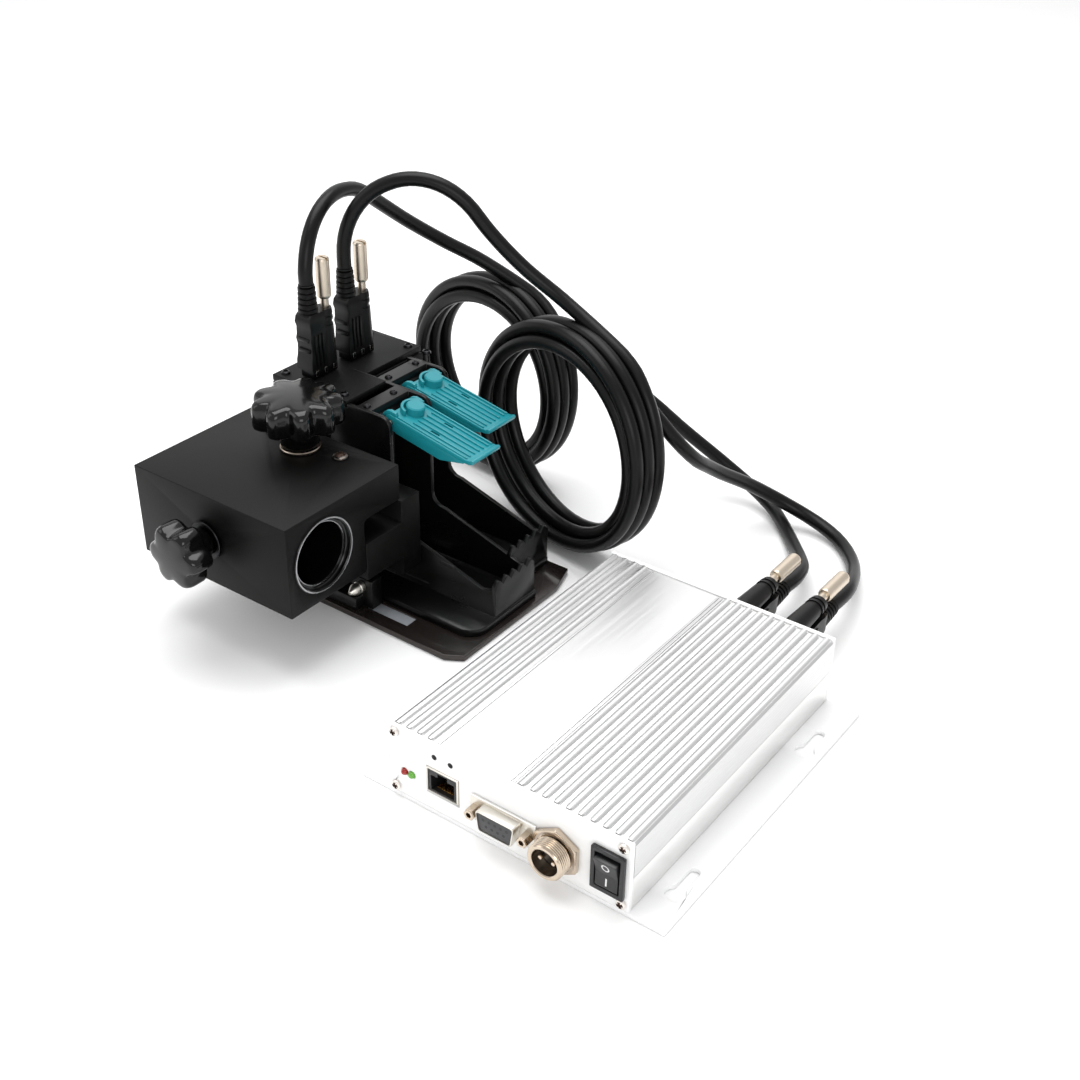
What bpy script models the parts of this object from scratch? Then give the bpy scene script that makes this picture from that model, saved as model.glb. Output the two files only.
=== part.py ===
"""Date code inkjet printer: a small controller box wired to a twin-cartridge print head.

Frame: origin at the centre of the controller's base plate, on its underside.
+X runs to the right along the front panel, +Y goes from the front panel to the rear, +Z is up.
Lengths below are in millimetres; every object is made in metres.
"""
import math

import bmesh
import bpy
from mathutils import Matrix, Vector

MM = 0.001
GAP = 0.3                  # clearance between two seated pieces
RUN_GAP = 0.5              # clearance round a piece that moves

# ---- controller -----------------------------------------------------------------------------
BOX_W, BOX_H, BOX_L = 114.0, 33.0, 158.0
PLATE_W, PLATE_T = 145.0, 2.0
WALL = 1.8
PANEL_T = 2.0
RIB_PITCH, RIB_W, RIB_H = 5.4, 2.6, 1.2
RIBS_LEFT, RIBS_RIGHT = 4, 10
SPLIT_Z = 0.47             # share of the box height where the two halves meet
BOSS = 6.4                 # square screw boss in each corner of the extrusion
BOSS_IN = 2.6              # screw axis, in from the side of the box
BOSS_UP = 2.9              # screw axis, in from the box's top or bottom face
SCREW_D, SCREW_HEAD_D, SCREW_HEAD_T, SCREW_LEN = 2.6, 4.6, 1.5, 9.0
KEY_X = 65.4               # keyhole centre line from the middle of the plate
KEY_W, KEY_EYE_D, KEY_LEN = 4.6, 8.4, 20.0
KEY_Y = (-60.0, 42.0)      # centre of each keyhole's round eye
BOARD_T = 1.6
BOARD_Z = 9.0
LED_X, LED_Z, LED_D = (-49.3, -45.6), 14.2, 3.0
PINHOLE_X, PINHOLE_Z, PINHOLE_D = (-33.9, -25.9), 29.1, 1.8
JACK_X, JACK_Z, JACK_W, JACK_H, JACK_L = -30.0, 16.6, 16.0, 13.2, 21.0
SERIAL_X, SERIAL_Z = 0.0, 15.6
SERIAL_SHELL_W, SERIAL_SHELL_H, SERIAL_SHELL_OUT = 18.0, 9.6, 6.0
SERIAL_FLANGE_W, SERIAL_FLANGE_H = 31.0, 12.5
POWER_X, POWER_Z, POWER_D, POWER_OUT = 25.4, 15.6, 16.0, 9.5
NUT_AF, NUT_T = 19.0, 2.4
SWITCH_X, SWITCH_Z, SWITCH_W, SWITCH_H = 48.0, 18.1, 14.6, 20.0
SWITCH_LIP, SWITCH_BODY_IN = 1.8, 15.0
ROCKER_W, ROCKER_H, ROCKER_TILT = 10.0, 15.4, 7.0

# ---- print head -----------------------------------------------------------------------------
STALL_PITCH = 28.2         # between the two cartridges, across the head
STAGGER = 12.7             # one printed band is half an inch high, so the stalls step by it
STALL_FRONT_X = -92.0      # outer face of the near stall's front wall
STALL_Y = 34.4             # outer face of the near side wall
STALL_WALL = 2.2
STALL_LEN = 86.0           # outer length of a stall, front face to contact wall
CHEEK_FRONT = 61.0         # the full-height cheeks end this far behind the front face
HEAD_TOP = 91.0
LOW_BACK_Z, LOW_FRONT_Z = 34.0, 19.5
SKID_T = 3.0
SKID_X = (-228.0, -88.0)
SKID_Y = (1.5, 94.0)
SKID_CHAMFER = 8.0
FLOOR_T = 3.6
FLOOR_SIDE = 17.0          # the moulded floor stands this far out past the near side wall
FLOOR_CORNER = 10.0
NOZZLE_W, NOZZLE_L = 13.0, 20.0
NOZZLE_BACK = 12.0         # nozzle window, in front of the contact wall
TEETH, TOOTH_H = 5, 3.0
HOUSING_BACK_X = -227.0
HOUSING_FAR_Y = 103.0
HOUSING_WALL = 2.5
LID_T = 3.2
LEDGE_T, LEDGE_W, LEDGE_GAP = 7.0, 8.7, 4.8   # the gap lets an opened latch swing past
LATCH_W, LATCH_L, LATCH_T = 20.0, 49.0, 2.4
LATCH_SKIRT, LATCH_DROP = 8.0, 11.0   # skirt depth, and how far the closed latch slopes, degrees
PIVOT_D, PIVOT_Z, PIVOT_IN = 2.4, 86.0, 4.0
KNUCKLE_D = 7.6

# ---- mounting clamp -------------------------------------------------------------------------
BLOCK_X = (-229.0, -136.0)
BLOCK_Y = (-51.2, 20.8)
BLOCK_Z = (34.5, 79.2)
NOTCH_Y, NOTCH_TOP = -3.4, 61.5
ARM_Z = (29.5, 48.4)
STRIP_T, STRIP_Z = 12.4, (20.0, 59.5)
BORE_D, LINER_WALL = 35.0, 2.2
BORE_Y, BORE_Z = -29.6, 56.9
LIFT_X, LIFT_Y = -182.0, 6.0
PIN_DX, PIN_D, PIN_HEAD_D = 21.0, 5.0, 8.0
PIN_Y = 9.9
KNOB_D, KNOB_LOBES, KNOB_T, KNOB_HUB_D, KNOB_HUB_T = 42.0, 9, 12.0, 22.0, 12.0
STUD_D = 7.6
GRIP_X, GRIP_D, GRIP_LOBES, GRIP_T, GRIP_HUB_D, GRIP_HUB_T = -185.0, 30.0, 6, 10.0, 16.0, 9.0
SENSOR_X, SENSOR_W, SENSOR_Y, SENSOR_D, SENSOR_H = -158.0, 13.0, 8.6, 7.0, 18.5
TIP_Z, TIP_L, TIP_D = 14.4, 8.0, 6.0

# ---- plugs and cables -----------------------------------------------------------------------
CABLE_D = 7.0
SOCKET_T = 4.4
PLUG_L, PLUG_W, PLUG_T = 28.0, 19.6, 11.0
PLUG_CABLE, PLUG_SCREW = -5.0, 6.2    # cable axis and screw axis across the plug
RELIEF_L, RELIEF_D = 14.0, 9.4
THUMB_D, THUMB_L, THUMB_SHAFT_D, THUMB_STANDOFF = 7.0, 20.0, 4.0, 4.0
HEAD_PLUG_X, HEAD_PLUG_Y = -210.0, (49.5, 75.5)
REAR_PLUG_X, REAR_PLUG_Z = (8.3, 33.4), 20.8
COIL_RING, COIL_T = 17.0, 26.0    # the ring of turns: its width and its thickness
COILS = {"a": (-191.5, 160.6, -8.0, 56.0), "b": (-112.8, 117.3, -13.0, 61.0)}   # x, y, swing, radius

# ---- derived --------------------------------------------------------------------------------
FRONT_Y, REAR_Y = -BOX_L / 2, BOX_L / 2
BOX_Z0 = PLATE_T + GAP
BOX_Z1 = BOX_Z0 + BOX_H
SEAM_Z = BOX_Z0 + BOX_H * SPLIT_Z
SHELL_Y0, SHELL_Y1 = FRONT_Y + PANEL_T + GAP, REAR_Y - PANEL_T - GAP
FLOOR_Z0 = SKID_T + GAP
FLOOR_Z1 = FLOOR_Z0 + FLOOR_T
LID_Z0 = HEAD_TOP - LID_T + 1.0
FAR_WALL_Y = STALL_Y + 2 * STALL_PITCH
LINER_D = BORE_D - 2 * GAP - 2 * LINER_WALL


# =============================================================================================
# helpers
# =============================================================================================
for old in list(bpy.data.objects):
    bpy.data.objects.remove(old, do_unlink=True)

printer = bpy.data.collections.new("date_code_inkjet_printer")
cutters = bpy.data.collections.new("cutters")
for group in (printer, cutters):
    bpy.context.scene.collection.children.link(group)


def paint(name, colour, roughness, metallic=0.0):
    """A plain material: base colour, roughness and metallic value."""
    made = bpy.data.materials.new(name)
    made.use_nodes = True
    shader = made.node_tree.nodes["Principled BSDF"]
    shader.inputs["Base Color"].default_value = (*colour, 1.0)
    shader.inputs["Roughness"].default_value = roughness
    shader.inputs["Metallic"].default_value = metallic
    return made


def place(name, mesh, at=(0, 0, 0), turn=None, look=None, group=None):
    """Make an object of the mesh, at a point given in millimetres."""
    made = bpy.data.objects.new(name, mesh)
    made.matrix_world = Matrix.Translation(Vector(at) * MM) @ (turn or Matrix()).to_4x4()
    (group or printer).objects.link(made)
    if look:
        mesh.materials.append(look)
    if group is cutters:
        made.hide_render = True
        made.display_type = "WIRE"
    return made


def from_bmesh(name, shape):
    mesh = bpy.data.meshes.new(name)
    bmesh.ops.recalc_face_normals(shape, faces=shape.faces)
    shape.to_mesh(mesh)
    shape.free()
    return mesh


def block(name, low, high, look=None, group=None, bevel=0.0, centre=None, turn=None):
    """A box between two corners; its origin is its centre, or the point given."""
    low, high = Vector(low), Vector(high)
    middle = (low + high) / 2
    origin = Vector(centre) if centre is not None else middle
    shape = bmesh.new()
    bmesh.ops.create_cube(shape, size=1.0)
    bmesh.ops.scale(shape, vec=(high - low) * MM, verts=shape.verts)
    bmesh.ops.translate(shape, vec=(middle - origin) * MM, verts=shape.verts)
    made = place(name, from_bmesh(name, shape), origin, turn, look, group)
    if bevel:
        soften(made, bevel)
    return made


TURNS = {
    "Z": Matrix.Identity(3),
    "X": Matrix.Rotation(math.radians(90), 3, "Y"),
    "-Y": Matrix.Rotation(math.radians(90), 3, "X"),
    "Y": Matrix.Rotation(math.radians(-90), 3, "X"),
}


def rod(name, at, diameter, length, axis="Z", look=None, group=None, sides=24, end_diameter=None):
    """A cylinder or cone from a point along an axis."""
    shape = bmesh.new()
    far = diameter if end_diameter is None else end_diameter
    bmesh.ops.create_cone(shape, cap_ends=True, segments=sides, radius1=diameter / 2 * MM,
                          radius2=far / 2 * MM, depth=length * MM)
    bmesh.ops.translate(shape, vec=(0, 0, length / 2 * MM), verts=shape.verts)
    made = place(name, from_bmesh(name, shape), at, TURNS[axis], look, group)
    made.data.shade_smooth()
    made.data.set_sharp_from_angle(angle=math.radians(40))
    return made


def turned(name, profile, at, axis="Z", look=None, group=None, steps=32, turn=None):
    """A solid of revolution: (radius, height) points from the top axis point to the bottom one."""
    mesh = bpy.data.meshes.new(name)
    closed = profile[0][0] > 0
    points = [(radius * MM, 0, height * MM) for radius, height in profile]
    edges = [(n, n + 1) for n in range(len(points) - 1)]
    if closed:
        edges.append((len(points) - 1, 0))
    mesh.from_pydata(points, edges, [])
    made = place(name, mesh, at, turn or TURNS[axis], look, group)
    screw = made.modifiers.new("turn", "SCREW")
    screw.axis = "Z"
    screw.steps = screw.render_steps = steps
    screw.use_merge_vertices = True
    screw.merge_threshold = 0.00001
    screw.use_smooth_shade = False
    return made


def outline(name, loops, thickness, at=(0, 0, 0), turn=None, look=None, group=None):
    """A flat outline, with any holes as further loops, made thick to both sides of its plane."""
    curve = bpy.data.curves.new(name, "CURVE")
    curve.dimensions = "2D"
    curve.fill_mode = "BOTH"
    curve.extrude = thickness / 2 * MM
    for loop in loops:
        spline = curve.splines.new("POLY")
        spline.points.add(len(loop) - 1)
        spline.use_cyclic_u = True
        for point, (x, y) in zip(spline.points, loop):
            point.co = (x * MM, y * MM, 0, 1)
    draft = place(name + "_curve", curve, at, turn, None, cutters)
    bpy.context.view_layer.update()
    mesh = bpy.data.meshes.new_from_object(draft.evaluated_get(bpy.context.evaluated_depsgraph_get()))
    world = draft.matrix_world.copy()
    bpy.data.objects.remove(draft, do_unlink=True)
    shape = bmesh.new()
    shape.from_mesh(mesh)
    bmesh.ops.remove_doubles(shape, verts=shape.verts, dist=0.000001)
    bmesh.ops.recalc_face_normals(shape, faces=shape.faces)
    shape.to_mesh(mesh)
    shape.free()
    mesh.name = name
    made = place(name, mesh, (0, 0, 0), None, look, group)
    made.matrix_world = world
    return made


def soften(piece, width, segments=1):
    bevel = piece.modifiers.new("edges", "BEVEL")
    bevel.width = width * MM
    bevel.segments = segments
    bevel.limit_method = "ANGLE"
    bevel.angle_limit = math.radians(35)


def boolean(piece, other, operation):
    step = piece.modifiers.new(operation.lower(), "BOOLEAN")
    step.operation = operation
    step.object = other
    return piece


def cut(piece, *tools):
    for tool in tools:
        boolean(piece, tool, "DIFFERENCE")
    return piece


def join(piece, *others):
    for other in others:
        boolean(piece, other, "UNION")
    return piece


def circle(x, y, diameter, sides=16):
    return [(x + diameter / 2 * math.cos(2 * math.pi * n / sides),
             y + diameter / 2 * math.sin(2 * math.pi * n / sides)) for n in range(sides)]


def arc(x, y, radius, start, end, count=5):
    """Points along an arc, angles in degrees."""
    return [(x + radius * math.cos(math.radians(start + (end - start) * n / count)),
             y + radius * math.sin(math.radians(start + (end - start) * n / count)))
            for n in range(count + 1)]


# planes for outlines: the outline's own x and y, and the way its thickness goes
XZ = Matrix.Rotation(math.radians(90), 3, "X")             # x stays x, y becomes z
YZ = Matrix(((0, 0, 1), (1, 0, 0), (0, 1, 0)))             # x becomes y, y becomes z

silver = paint("anodised_aluminium", (0.80, 0.81, 0.83), 0.38, 0.9)
white_panel = paint("white_powder_coat", (0.86, 0.86, 0.87), 0.45)
black_metal = paint("black_anodised_aluminium", (0.02, 0.02, 0.022), 0.45, 0.4)
black_mould = paint("black_moulded_abs", (0.018, 0.018, 0.02), 0.35)
teal = paint("teal_moulded_plastic", (0.03, 0.36, 0.40), 0.35)
steel = paint("polished_steel", (0.75, 0.74, 0.72), 0.2, 1.0)
nickel = paint("nickel_plated_brass", (0.72, 0.66, 0.56), 0.3, 1.0)
bronze_plate = paint("smoked_bronze_plate", (0.06, 0.045, 0.04), 0.15, 0.6)
board_green = paint("circuit_board", (0.02, 0.12, 0.05), 0.5)
gold = paint("gold_contacts", (0.85, 0.6, 0.25), 0.3, 1.0)
red_lens = paint("red_led", (0.7, 0.02, 0.02), 0.2)
green_lens = paint("green_led", (0.02, 0.5, 0.08), 0.2)
rubber = paint("black_cable_jacket", (0.02, 0.02, 0.02), 0.55)


# =============================================================================================
# controller
# =============================================================================================
def keyhole(x, y):
    """An eye for the screw's head at the front, and a slot behind it for its neck."""
    eye = circle(x, y, KEY_EYE_D, 16)
    tip = y + KEY_LEN - KEY_EYE_D / 2 - KEY_W / 2
    outside = [p for p in eye if not (p[1] > y and abs(p[0] - x) < KEY_W / 2)]
    outside.sort(key=lambda p: math.atan2(p[0] - x, -(p[1] - y)))
    join_y = y + math.sqrt((KEY_EYE_D / 2) ** 2 - (KEY_W / 2) ** 2)
    return outside + [(x + KEY_W / 2, join_y)] + arc(x, tip, KEY_W / 2, 0, 180, 6) \
        + [(x - KEY_W / 2, join_y)]


def make_base_plate():
    half_w, half_l = PLATE_W / 2, BOX_L / 2
    rim = [(-half_w, -half_l), (half_w, -half_l), (half_w, half_l), (-half_w, half_l)]
    holes = [keyhole(side * KEY_X, y) for side in (-1, 1) for y in KEY_Y]
    outline("controller_base_plate", [rim] + holes, PLATE_T, (0, 0, PLATE_T / 2), None, silver)


def rib_places():
    """Centre lines of the cooling ribs: a few at the left, a flat band, then the rest."""
    first = BOX_W / 2 - RIB_PITCH / 2
    left = [-first + RIB_PITCH * n for n in range(RIBS_LEFT)]
    right = [first - RIB_PITCH * n for n in range(RIBS_RIGHT)]
    return left, sorted(right)


def shell_profile(top):
    """Half of the extrusion, cut at the seam, with its ribs, screw bosses and board rail."""
    half, inner = BOX_W / 2, BOX_W / 2 - WALL
    if top:
        face = BOX_Z1 - RIB_H
        crest = []
        for x in sum(rib_places(), []):
            crest += [(x - RIB_W / 2, face), (x - RIB_W / 2 + 0.5, BOX_Z1),
                      (x + RIB_W / 2 - 0.5, BOX_Z1), (x + RIB_W / 2, face)]
        low = SEAM_Z + GAP / 2
        roof, under = face - WALL, BOX_Z1 - BOSS
        path = [(-half, low), (-half, face)] + crest + [(half, face), (half, low), (inner, low),
                (inner, under), (half - BOSS, under), (half - BOSS, roof)]
        path += [(-half + BOSS, roof), (-half + BOSS, under), (-inner, under), (-inner, low)]
        screw_z = BOX_Z1 - BOSS_UP
    else:
        high = SEAM_Z - GAP / 2
        floor, over = BOX_Z0 + WALL, BOX_Z0 + BOSS
        rail = BOARD_Z - GAP
        path = [(-half, high), (-half, BOX_Z0), (half, BOX_Z0), (half, high), (inner, high),
                (inner, rail), (half - BOSS, rail), (half - BOSS, floor)]
        path += [(-half + BOSS, floor), (-half + BOSS, rail), (-inner, rail), (-inner, high)]
        path.reverse()
        screw_z = BOX_Z0 + BOSS_UP
    return path, screw_z


def make_enclosure():
    length = SHELL_Y1 - SHELL_Y0
    for name, top in (("enclosure_upper_shell", True), ("enclosure_lower_shell", False)):
        path, screw_z = shell_profile(top)
        bores = [circle(side * (BOX_W / 2 - BOSS_IN - 0.6), screw_z, SCREW_D + 2 * GAP, 10)
                 for side in (-1, 1)]
        outline(name, [path] + bores, length, (0, (SHELL_Y0 + SHELL_Y1) / 2, 0), XZ, silver)


def panel_screws():
    """Name, x and z of the four screws of a panel."""
    x = BOX_W / 2 - BOSS_IN - 0.6
    return [(f"{high}_{side}", sign * x, z)
            for high, z in (("upper", BOX_Z1 - BOSS_UP), ("lower", BOX_Z0 + BOSS_UP))
            for side, sign in (("left", -1), ("right", 1))]


def make_panels():
    half = BOX_W / 2
    for name, y in (("front_end_panel", FRONT_Y), ("rear_end_panel", REAR_Y - PANEL_T)):
        rim = [(-half, BOX_Z0), (half, BOX_Z0), (half, BOX_Z1 - 0.4), (-half, BOX_Z1 - 0.4)]
        holes = [circle(x, z, SCREW_D + 2 * GAP, 12) for _, x, z in panel_screws()]
        if y == FRONT_Y:
            holes += [circle(x, LED_Z, LED_D + 2 * GAP, 12) for x in LED_X]
            holes += [circle(x, PINHOLE_Z, PINHOLE_D, 8) for x in PINHOLE_X]
            holes.append(circle(POWER_X, POWER_Z, POWER_D - 2 + 2 * GAP, 24))
            for x, z, w, h in ((JACK_X, JACK_Z, JACK_W, JACK_H),
                               (SERIAL_X, SERIAL_Z, SERIAL_SHELL_W, SERIAL_SHELL_H),
                               (SWITCH_X, SWITCH_Z, SWITCH_W - 2, SWITCH_H - 2)):
                w, h = w / 2 + GAP, h / 2 + GAP
                holes.append([(x - w, z - h), (x + w, z - h), (x + w, z + h), (x - w, z + h)])
        else:
            for x in REAR_PLUG_X:
                w, h = PLUG_T / 2 - 1.5 + GAP, PLUG_W / 2 - 2 + GAP
                holes.append([(x - w, REAR_PLUG_Z - h), (x + w, REAR_PLUG_Z - h),
                              (x + w, REAR_PLUG_Z + h), (x - w, REAR_PLUG_Z + h)])
        outline(name, [rim] + holes, PANEL_T, (0, y + PANEL_T / 2, 0), XZ, white_panel)
    for where, x, z in panel_screws():
        face = FRONT_Y - GAP
        head = SCREW_HEAD_T
        profile = [(0, head), (SCREW_HEAD_D / 4, head), (SCREW_HEAD_D / 2, head * 0.35),
                   (SCREW_HEAD_D / 2, 0), (SCREW_D / 2, 0), (SCREW_D / 2, -SCREW_LEN),
                   (0, -SCREW_LEN)]
        turned(f"front_panel_screw_{where}", profile, (x, face, z), "-Y", steel, steps=14)


def make_board():
    half = BOX_W / 2 - WALL - 2 * GAP
    block("main_board", (-half, SHELL_Y0 + 26, BOARD_Z), (half, SHELL_Y1 - 16, BOARD_Z + BOARD_T),
          board_green)


def make_leds():
    for name, x, look in (("status_led_red", LED_X[0], red_lens),
                          ("status_led_green", LED_X[1], green_lens)):
        r = LED_D / 2
        profile = [(0, 1.6)] + [(r * math.sin(math.radians(a)), 0.1 + r * math.cos(math.radians(a)))
                                for a in (30, 60, 90)]
        profile += [(r, -PANEL_T - GAP), (r - 0.9, -PANEL_T - GAP), (r - 0.9, -31.5), (0, -31.5)]
        turned(name, profile, (x, FRONT_Y, LED_Z), "-Y", look, steps=14)


def make_jack():
    half = JACK_W / 2
    low = (JACK_X - half, FRONT_Y - 0.4, BOARD_Z + BOARD_T + GAP)
    high = (JACK_X + half, FRONT_Y + JACK_L, JACK_Z + JACK_H / 2)
    body = block("ethernet_jack", low, high, steel)
    pocket = block("jack_pocket", (JACK_X - 6, FRONT_Y - 2, JACK_Z - 4.4),
                   (JACK_X + 6, FRONT_Y + 13, JACK_Z + 3.6), group=cutters)
    foot = block("jack_foot", (JACK_X - half - 1, FRONT_Y - 2, low[2] - 1),
                 (JACK_X + half + 1, FRONT_Y + PANEL_T + 20.0, JACK_Z - JACK_H / 2), group=cutters)
    tail = block("jack_tail", (JACK_X - 5, FRONT_Y + 12, low[2]),
                 (JACK_X + 5, SHELL_Y0 + 40, JACK_Z), group=cutters)
    cut(body, pocket, foot)
    join(body, tail)


def d_shape(width, height, lean=1.0):
    """The outline of a D connector, wider at the top."""
    w, h = width / 2, height / 2
    return [(-w + lean + 1, -h), (w - lean - 1, -h), (w - lean, -h + 1), (w, h - 1),
            (w - 1, h), (-w + 1, h), (-w, h - 1), (-w + lean, -h + 1)]


def make_serial():
    at = (SERIAL_X, FRONT_Y, SERIAL_Z)
    w, h = SERIAL_SHELL_W, SERIAL_SHELL_H
    flange_w, flange_h = SERIAL_FLANGE_W / 2, SERIAL_FLANGE_H / 2
    body = block("serial_connector", (SERIAL_X - flange_w, FRONT_Y - GAP - 1.0, SERIAL_Z - flange_h),
                 (SERIAL_X + flange_w, FRONT_Y - GAP, SERIAL_Z + flange_h), steel)
    nose = outline("serial_nose", [d_shape(w, h)], SERIAL_SHELL_OUT,
                   (at[0], FRONT_Y - GAP - SERIAL_SHELL_OUT / 2, at[2]), XZ, group=cutters)
    rear = block("serial_rear", (SERIAL_X - w / 2, FRONT_Y - 1, SERIAL_Z - h / 2),
                 (SERIAL_X + w / 2, FRONT_Y + 12, SERIAL_Z + h / 2), group=cutters)
    leg = block("serial_leg", (SERIAL_X - w / 2 + 2, FRONT_Y + 9, BOARD_Z + BOARD_T + GAP),
                (SERIAL_X + w / 2 - 2, SHELL_Y0 + 36, SERIAL_Z), group=cutters)
    hollow = outline("serial_hollow", [d_shape(w - 1.4, h - 1.4)], 5.0,
                     (at[0], FRONT_Y - GAP - SERIAL_SHELL_OUT, at[2]), XZ, group=cutters)
    join(body, nose, rear, leg)
    cut(body, hollow)


def make_power_socket():
    r = POWER_D / 2
    out, deep = POWER_OUT, 8.0
    profile = [(r - 2.2, out), (r - 0.4, out), (r, out - 0.5), (r, NUT_T + 2 * GAP),
               (r - 1 - GAP, NUT_T + 2 * GAP), (r - 1 - GAP, -PANEL_T - GAP), (r + 1, -PANEL_T - GAP),
               (r + 1, -PANEL_T - 3), (r - 1.5, -PANEL_T - 3), (r - 1.5, -16), (0, -16)]
    mesh_profile = [(0, out - deep), (r - 2.2, out - deep)] + profile
    body = turned("power_socket", mesh_profile, (POWER_X, FRONT_Y, POWER_Z), "-Y", nickel, steps=24)
    pins = [rod(f"power_pin_{n}", (POWER_X + dx, FRONT_Y - 1.0, POWER_Z), 2.2, 6.5, "-Y",
                group=cutters, sides=10) for n, dx in enumerate((-3.0, 3.0))]
    join(body, *pins)
    corner = NUT_AF / 2 / math.cos(math.radians(30))
    hexagon = arc(0, 0, corner, 30, 390, 6)[:-1]
    outline("power_socket_nut", [hexagon, circle(0, 0, POWER_D - 2 + 2 * GAP - 0.2, 24)], NUT_T,
            (POWER_X, FRONT_Y - GAP - NUT_T / 2, POWER_Z), XZ, nickel)


def make_switch():
    w, h = SWITCH_W / 2, SWITCH_H / 2
    body = block("switch_bezel", (SWITCH_X - w, FRONT_Y - GAP - SWITCH_LIP, SWITCH_Z - h),
                 (SWITCH_X + w, FRONT_Y - GAP, SWITCH_Z + h), black_mould)
    core = block("switch_core", (SWITCH_X - w + 1, FRONT_Y - 1, SWITCH_Z - h + 1),
                 (SWITCH_X + w - 1, FRONT_Y + SWITCH_BODY_IN, SWITCH_Z + h - 1), group=cutters)
    w, h = ROCKER_W / 2 + RUN_GAP, ROCKER_H / 2 + RUN_GAP
    well = block("switch_well", (SWITCH_X - w, FRONT_Y - 5, SWITCH_Z - h),
                 (SWITCH_X + w, FRONT_Y + 8, SWITCH_Z + h), group=cutters)
    join(body, core)
    cut(body, well)
    # the rocker is a shallow V in side view, turning about the bottom of the V
    pivot = (SWITCH_X, FRONT_Y + 2.2, SWITCH_Z)
    half = ROCKER_H / 2
    rise = math.tan(math.radians(ROCKER_TILT))
    wing = [(-4.2 - half * rise, half - 0.6), (-4.2, 0), (-4.2 - half * rise, -half + 0.6),
            (0.4 - half * rise, -half + 0.6), (3.0, -2.5), (3.0, 2.5), (0.4 - half * rise, half - 0.6)]
    tilt = Matrix.Rotation(math.radians(ROCKER_TILT), 3, "X")
    outline("switch_rocker", [wing], ROCKER_W, pivot, tilt @ YZ, black_mould)


# =============================================================================================
# plugs, sockets and cables
# =============================================================================================
UP = Matrix.Identity(3)
# a plug on the rear panel points along +Y, with its thumbscrew above the cable
BACK = Matrix(((-1, 0, 0), (0, 0, 1), (0, 1, 0)))
PORTS = [("head_plug_a", "head", (HEAD_PLUG_X, HEAD_PLUG_Y[0], HEAD_TOP + 1.0 + GAP), UP),
         ("head_plug_b", "head", (HEAD_PLUG_X, HEAD_PLUG_Y[1], HEAD_TOP + 1.0 + GAP), UP),
         ("rear_plug_a", "rear", (REAR_PLUG_X[0], REAR_Y + GAP, REAR_PLUG_Z), BACK),
         ("rear_plug_b", "rear", (REAR_PLUG_X[1], REAR_Y + GAP, REAR_PLUG_Z), BACK)]


def local(at, turn, point):
    """A point of a port's own frame, in the printer's frame."""
    return tuple(Vector(at) + turn @ Vector(point))


def port_box(name, at, turn, low, high, look=None, group=None, bevel=0.0):
    low, high = Vector(low), Vector(high)
    made = block(name, low, high, look, group, bevel, (0, 0, 0))
    made.matrix_world = Matrix.Translation(Vector(at) * MM) @ turn.to_4x4()
    return made


def make_port(plug, kind, at, turn):
    half_w, half_t = PLUG_W / 2, PLUG_T / 2
    socket = plug.replace("plug", "socket")
    body = port_box(socket, at, turn, (-half_t + 0.6, -half_w + 0.6, 0),
                    (half_t - 0.6, half_w - 0.6, SOCKET_T), steel)
    if kind == "rear":
        neck = port_box(socket + "_neck", at, turn, (-half_t + 1.5, -half_w + 2, -14),
                        (half_t - 1.5, half_w - 2, 1), group=cutters)
        leg = block(socket + "_leg",
                    (at[0] - half_t + 1.5, REAR_Y - 26, BOARD_Z + BOARD_T + GAP),
                    (at[0] + half_t - 1.5, REAR_Y - 12, REAR_PLUG_Z), group=cutters)
        join(body, neck, leg)
    start = SOCKET_T + GAP
    shell = port_box(plug, at, turn, (-half_t, -half_w, start), (half_t, half_w, start + PLUG_L),
                     black_mould)
    cable_at = local(at, turn, (0, PLUG_CABLE, start + PLUG_L - 2))
    axis = "Z" if kind == "head" else "Y"
    relief = rod(plug + "_relief", cable_at, RELIEF_D, RELIEF_L + 2, axis, group=cutters, sides=16,
                 end_diameter=RELIEF_D - 1)
    join(shell, relief)
    screw_at = local(at, turn, (0, PLUG_SCREW, start + GAP))
    bore = rod(plug + "_bore", local(at, turn, (0, PLUG_SCREW, start - 2)),
               THUMB_SHAFT_D + 2 * GAP, PLUG_L + 4, axis, group=cutters, sides=12)
    cut(shell, bore)
    grip = PLUG_L + THUMB_STANDOFF
    r = THUMB_D / 2
    profile = [(0, grip + THUMB_L), (r - 0.6, grip + THUMB_L), (r, grip + THUMB_L - 0.8),
               (r, grip + 0.8), (r - 0.8, grip), (THUMB_SHAFT_D / 2, grip), (THUMB_SHAFT_D / 2, 0),
               (0, 0)]
    turned(plug.replace("plug", "thumbscrew"), profile, screw_at, axis, nickel, steps=14)


def relief_end(plug):
    """Where the cable leaves a plug, and the way it goes."""
    _, kind, at, turn = next(port for port in PORTS if port[0] == plug)
    end = Vector(local(at, turn, (0, PLUG_CABLE, SOCKET_T + GAP + PLUG_L + RELIEF_L + GAP)))
    return end, (Vector((0, 0, 1)) if kind == "head" else Vector((0, 1, 0)))


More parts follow.
